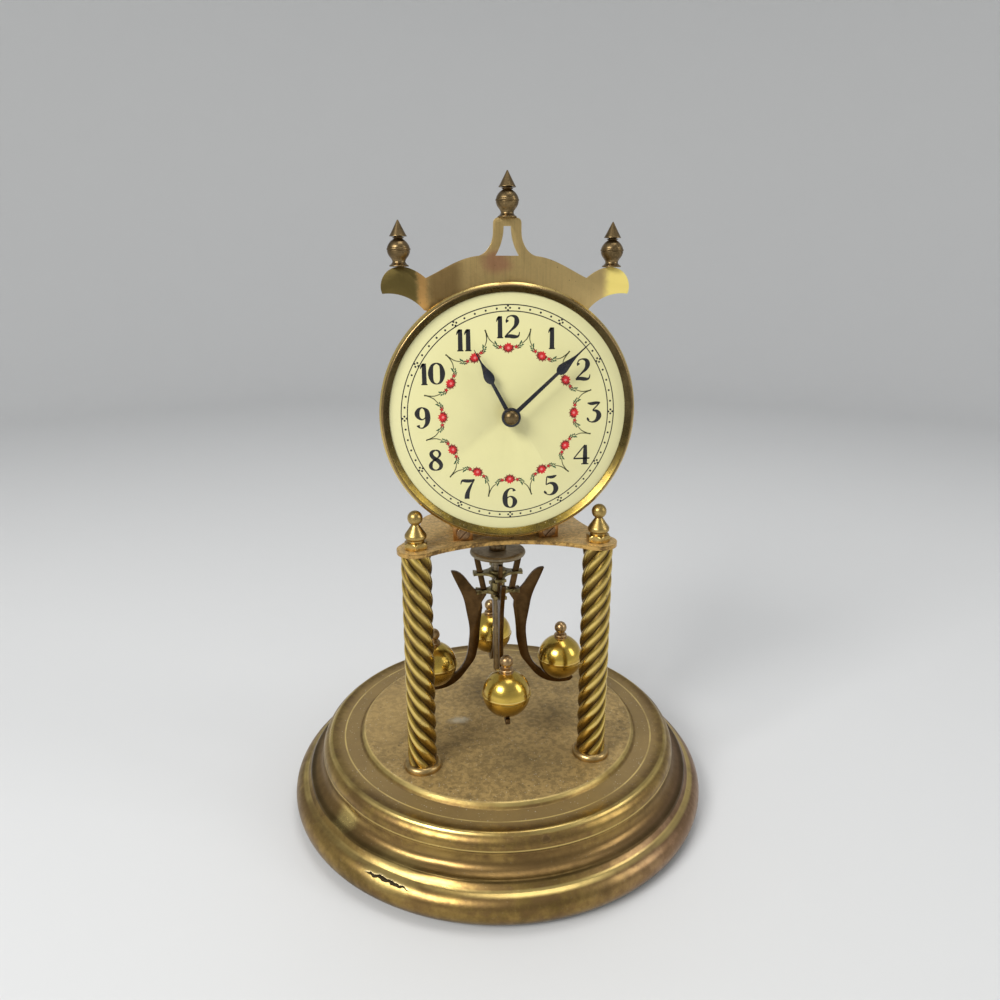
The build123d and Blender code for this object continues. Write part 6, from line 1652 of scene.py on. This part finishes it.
class CLOCK_OT_balls(bpy.types.Operator):
    """Turns the four seamed balls with their beaded collars and round caps"""
    bl_idname = "clock.balls"
    bl_label = "Balls"

    def execute(self, context):
        low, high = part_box("ball_right")
        out = (low.x + high.x) / 2
        radius = (high.x - low.x) / 2
        seam_z = ball_seam_z()
        for index, side in enumerate(("right", "rear", "left", "front")):
            turn = Matrix.Rotation(index * math.pi / 2, 4, "Z") @ Matrix.Translation((out, 0, 0))
            name = "ball_" + side
            ball = turned(name + "_gold", self.ball_line(radius, seam_z), 128, seat=turn)
            cap = turned(name + "_cap", self.cap_line(radius, seam_z, high.z), 64, seat=turn)
            place_piece(link(name + "_gold", ball), "arm_" + side, [name], "ball", 40)
            place_piece(link(name + "_cap", cap), "arm_" + side, [], "ball_cap", 50)
        return {"FINISHED"}

    def ball_line(self, radius, seam_z):
        """Two pressed halves that meet at a thin lipped seam, flat below and at the collar."""
        line = [(0.0, seam_z - radius + ball_flat)]
        seat = radius * ball_seat_share
        line.append((seat, seam_z - radius + ball_flat))
        start = -math.acos(seat * 1.02 / radius)
        steps = 34
        for k in range(steps):
            angle = start * (1 - k / steps)
            line.append((radius * math.cos(angle), seam_z + radius * math.sin(angle)))
        lip = radius * ball_lip_share
        line += [(radius * 0.999, seam_z - lip), (radius * 1.028, seam_z - lip * 0.8),
                 (radius * 1.030, seam_z - lip * 0.1), (radius * 0.990, seam_z + lip * 0.1),
                 (radius * 1.002, seam_z + lip * 0.4)]
        top = math.acos(0.20)
        for k in range(1, steps + 1):
            angle = top * k / steps
            line.append((radius * math.cos(angle) * 0.998, seam_z + radius * math.sin(angle)))
        line.append((0.0, seam_z + radius * math.sin(top)))
        return line

    def cap_line(self, radius, seam_z, top):
        """A flared foot, two beads, a waist and a small ball."""
        foot = seam_z + radius * ball_cap_foot_share
        bead = radius * ball_cap_bead_share
        knob = radius * ball_cap_knob_share
        centre = top - knob
        line = [(0.0, foot - radius * 0.04), (bead * 1.02, foot - radius * 0.04),
                (bead * 1.04, foot + radius * 0.02), (bead * 0.86, foot + radius * 0.05)]
        for k in range(1, 9):
            angle = math.pi * (k / 8 - 0.5)
            line.append((bead * 0.78 + bead * 0.22 * math.cos(angle),
                         foot + radius * (0.115 + 0.062 * math.sin(angle))))
        waist = knob * 0.56
        start = -math.acos(waist / knob)
        line.append((waist, (foot + radius * 0.18 + centre + knob * math.sin(start)) / 2))
        for k in range(25):
            angle = start + (math.pi / 2 - start) * k / 24
            line.append((max(knob * math.cos(angle), 0.0), centre + knob * math.sin(angle)))
        line[-1] = (0.0, top)
        return line


# Stage

class CLOCK_OT_stage(bpy.types.Operator):
    """Sets the pale floor that sweeps up into a round backdrop, the soft lamps, the world and the camera"""
    bl_idname = "clock.stage"
    bl_label = "Stage"

    def execute(self, context):
        reach, bend, height = 1.9, 0.6, 1.1
        line = [(0.0, 0.0), (reach - bend, 0.0)]
        for k in range(1, 13):
            angle = math.pi / 2 * k / 12
            line.append((reach - bend + bend * math.sin(angle), bend - bend * math.cos(angle)))
        line.append((reach, height))
        mesh = turned("floor_sweep", line, 96)
        mesh.flip_normals()
        floor = link("floor_sweep", mesh)
        floor.data.materials.append(finish("floor"))
        floor.data.shade_smooth()
        self.world()
        self.lamps()
        self.camera()
        return {"FINISHED"}

    def lamps(self):
        """Soft boxes: name, place, height of the aim on the clock's axis, size and power."""
        for name, place, aim, size, power in (
                ("key_softbox", (-0.82, -0.80, 0.92), 0.13, (0.6, 0.45), 14.5),
                ("top_softbox", (0.15, 0.05, 1.35), 0.1, (0.9, 0.6), 4.6),
                ("side_softbox", (1.1, -0.5, 0.7), 0.12, (0.35, 0.7), 3.0)):
            data = bpy.data.lights.new(name, "AREA")
            data.shape = "RECTANGLE"
            data.size, data.size_y = size
            data.energy = power
            lamp = link(name, data)
            lamp.location = place
            lamp.rotation_euler = (Vector((0, 0, aim)) - Vector(place)).to_track_quat("-Z", "Y").to_euler()

    def world(self):
        world = bpy.data.worlds.new("studio_air")
        bpy.context.scene.world = world
        world.use_nodes = True
        background = world.node_tree.nodes["Background"]
        background.inputs["Color"].default_value = (0.92, 0.95, 1.0, 1)
        background.inputs["Strength"].default_value = 0.36

    def camera(self):
        data = bpy.data.cameras.new("view_camera")
        data.sensor_width = 36.0
        data.lens = camera_lens
        data.clip_start = 0.01
        data.clip_end = 20.0
        camera = link("view_camera", data)
        camera.location = camera_place
        camera.rotation_mode = "QUATERNION"
        camera.rotation_quaternion = Vector(camera_way).to_track_quat("-Z", "Y")
        bpy.context.scene.camera = camera


class CLOCK_PT_panel(bpy.types.Panel):
    """Lists the clock's sizes, colours and pieces"""
    bl_idname = "CLOCK_PT_panel"
    bl_label = "Torsion pendulum clock"
    bl_space_type = "VIEW_3D"
    bl_region_type = "UI"
    bl_category = "Clock"

    def draw(self, context):
        for group_of in (context.scene.clock_sizes, context.scene.clock_colours):
            box = self.layout.box()
            for name in group_of.bl_rna.properties.keys():
                if name not in ("rna_type", "name"):
                    box.prop(group_of, name)
        for operator in piece_operators:
            self.layout.operator(operator.bl_idname)


piece_operators = (
    CLOCK_OT_stage, CLOCK_OT_base, CLOCK_OT_underside, CLOCK_OT_pillars, CLOCK_OT_movement, CLOCK_OT_train,
    CLOCK_OT_screws, CLOCK_OT_dial, CLOCK_OT_garland, CLOCK_OT_bezel, CLOCK_OT_hands, CLOCK_OT_fret,
    CLOCK_OT_pendulum, CLOCK_OT_balls,
)
classes = (ClockSizes, ClockColours, CLOCK_PT_panel) + piece_operators


def register():
    for cls in classes:
        bpy.utils.register_class(cls)
    bpy.types.Scene.clock_sizes = bpy.props.PointerProperty(type=ClockSizes)
    bpy.types.Scene.clock_colours = bpy.props.PointerProperty(type=ClockColours)


def unregister():
    del bpy.types.Scene.clock_colours
    del bpy.types.Scene.clock_sizes
    for cls in reversed(classes):
        bpy.utils.unregister_class(cls)


def main():
    """Builds everything in order."""
    register()
    scene = bpy.context.scene
    scene.view_settings.view_transform = "Standard"
    for effect in (tarnish_group, specks_group, brushed_group, band_group, patch_group):
        effect()
    for name, material in finishes().items():
        scene["finish_" + name] = material.name
    for operator in piece_operators:
        category, action = operator.bl_idname.split(".")
        getattr(getattr(bpy.ops, category), action)()
    bpy.context.view_layer.update()


if __name__ == "__main__":
    main()
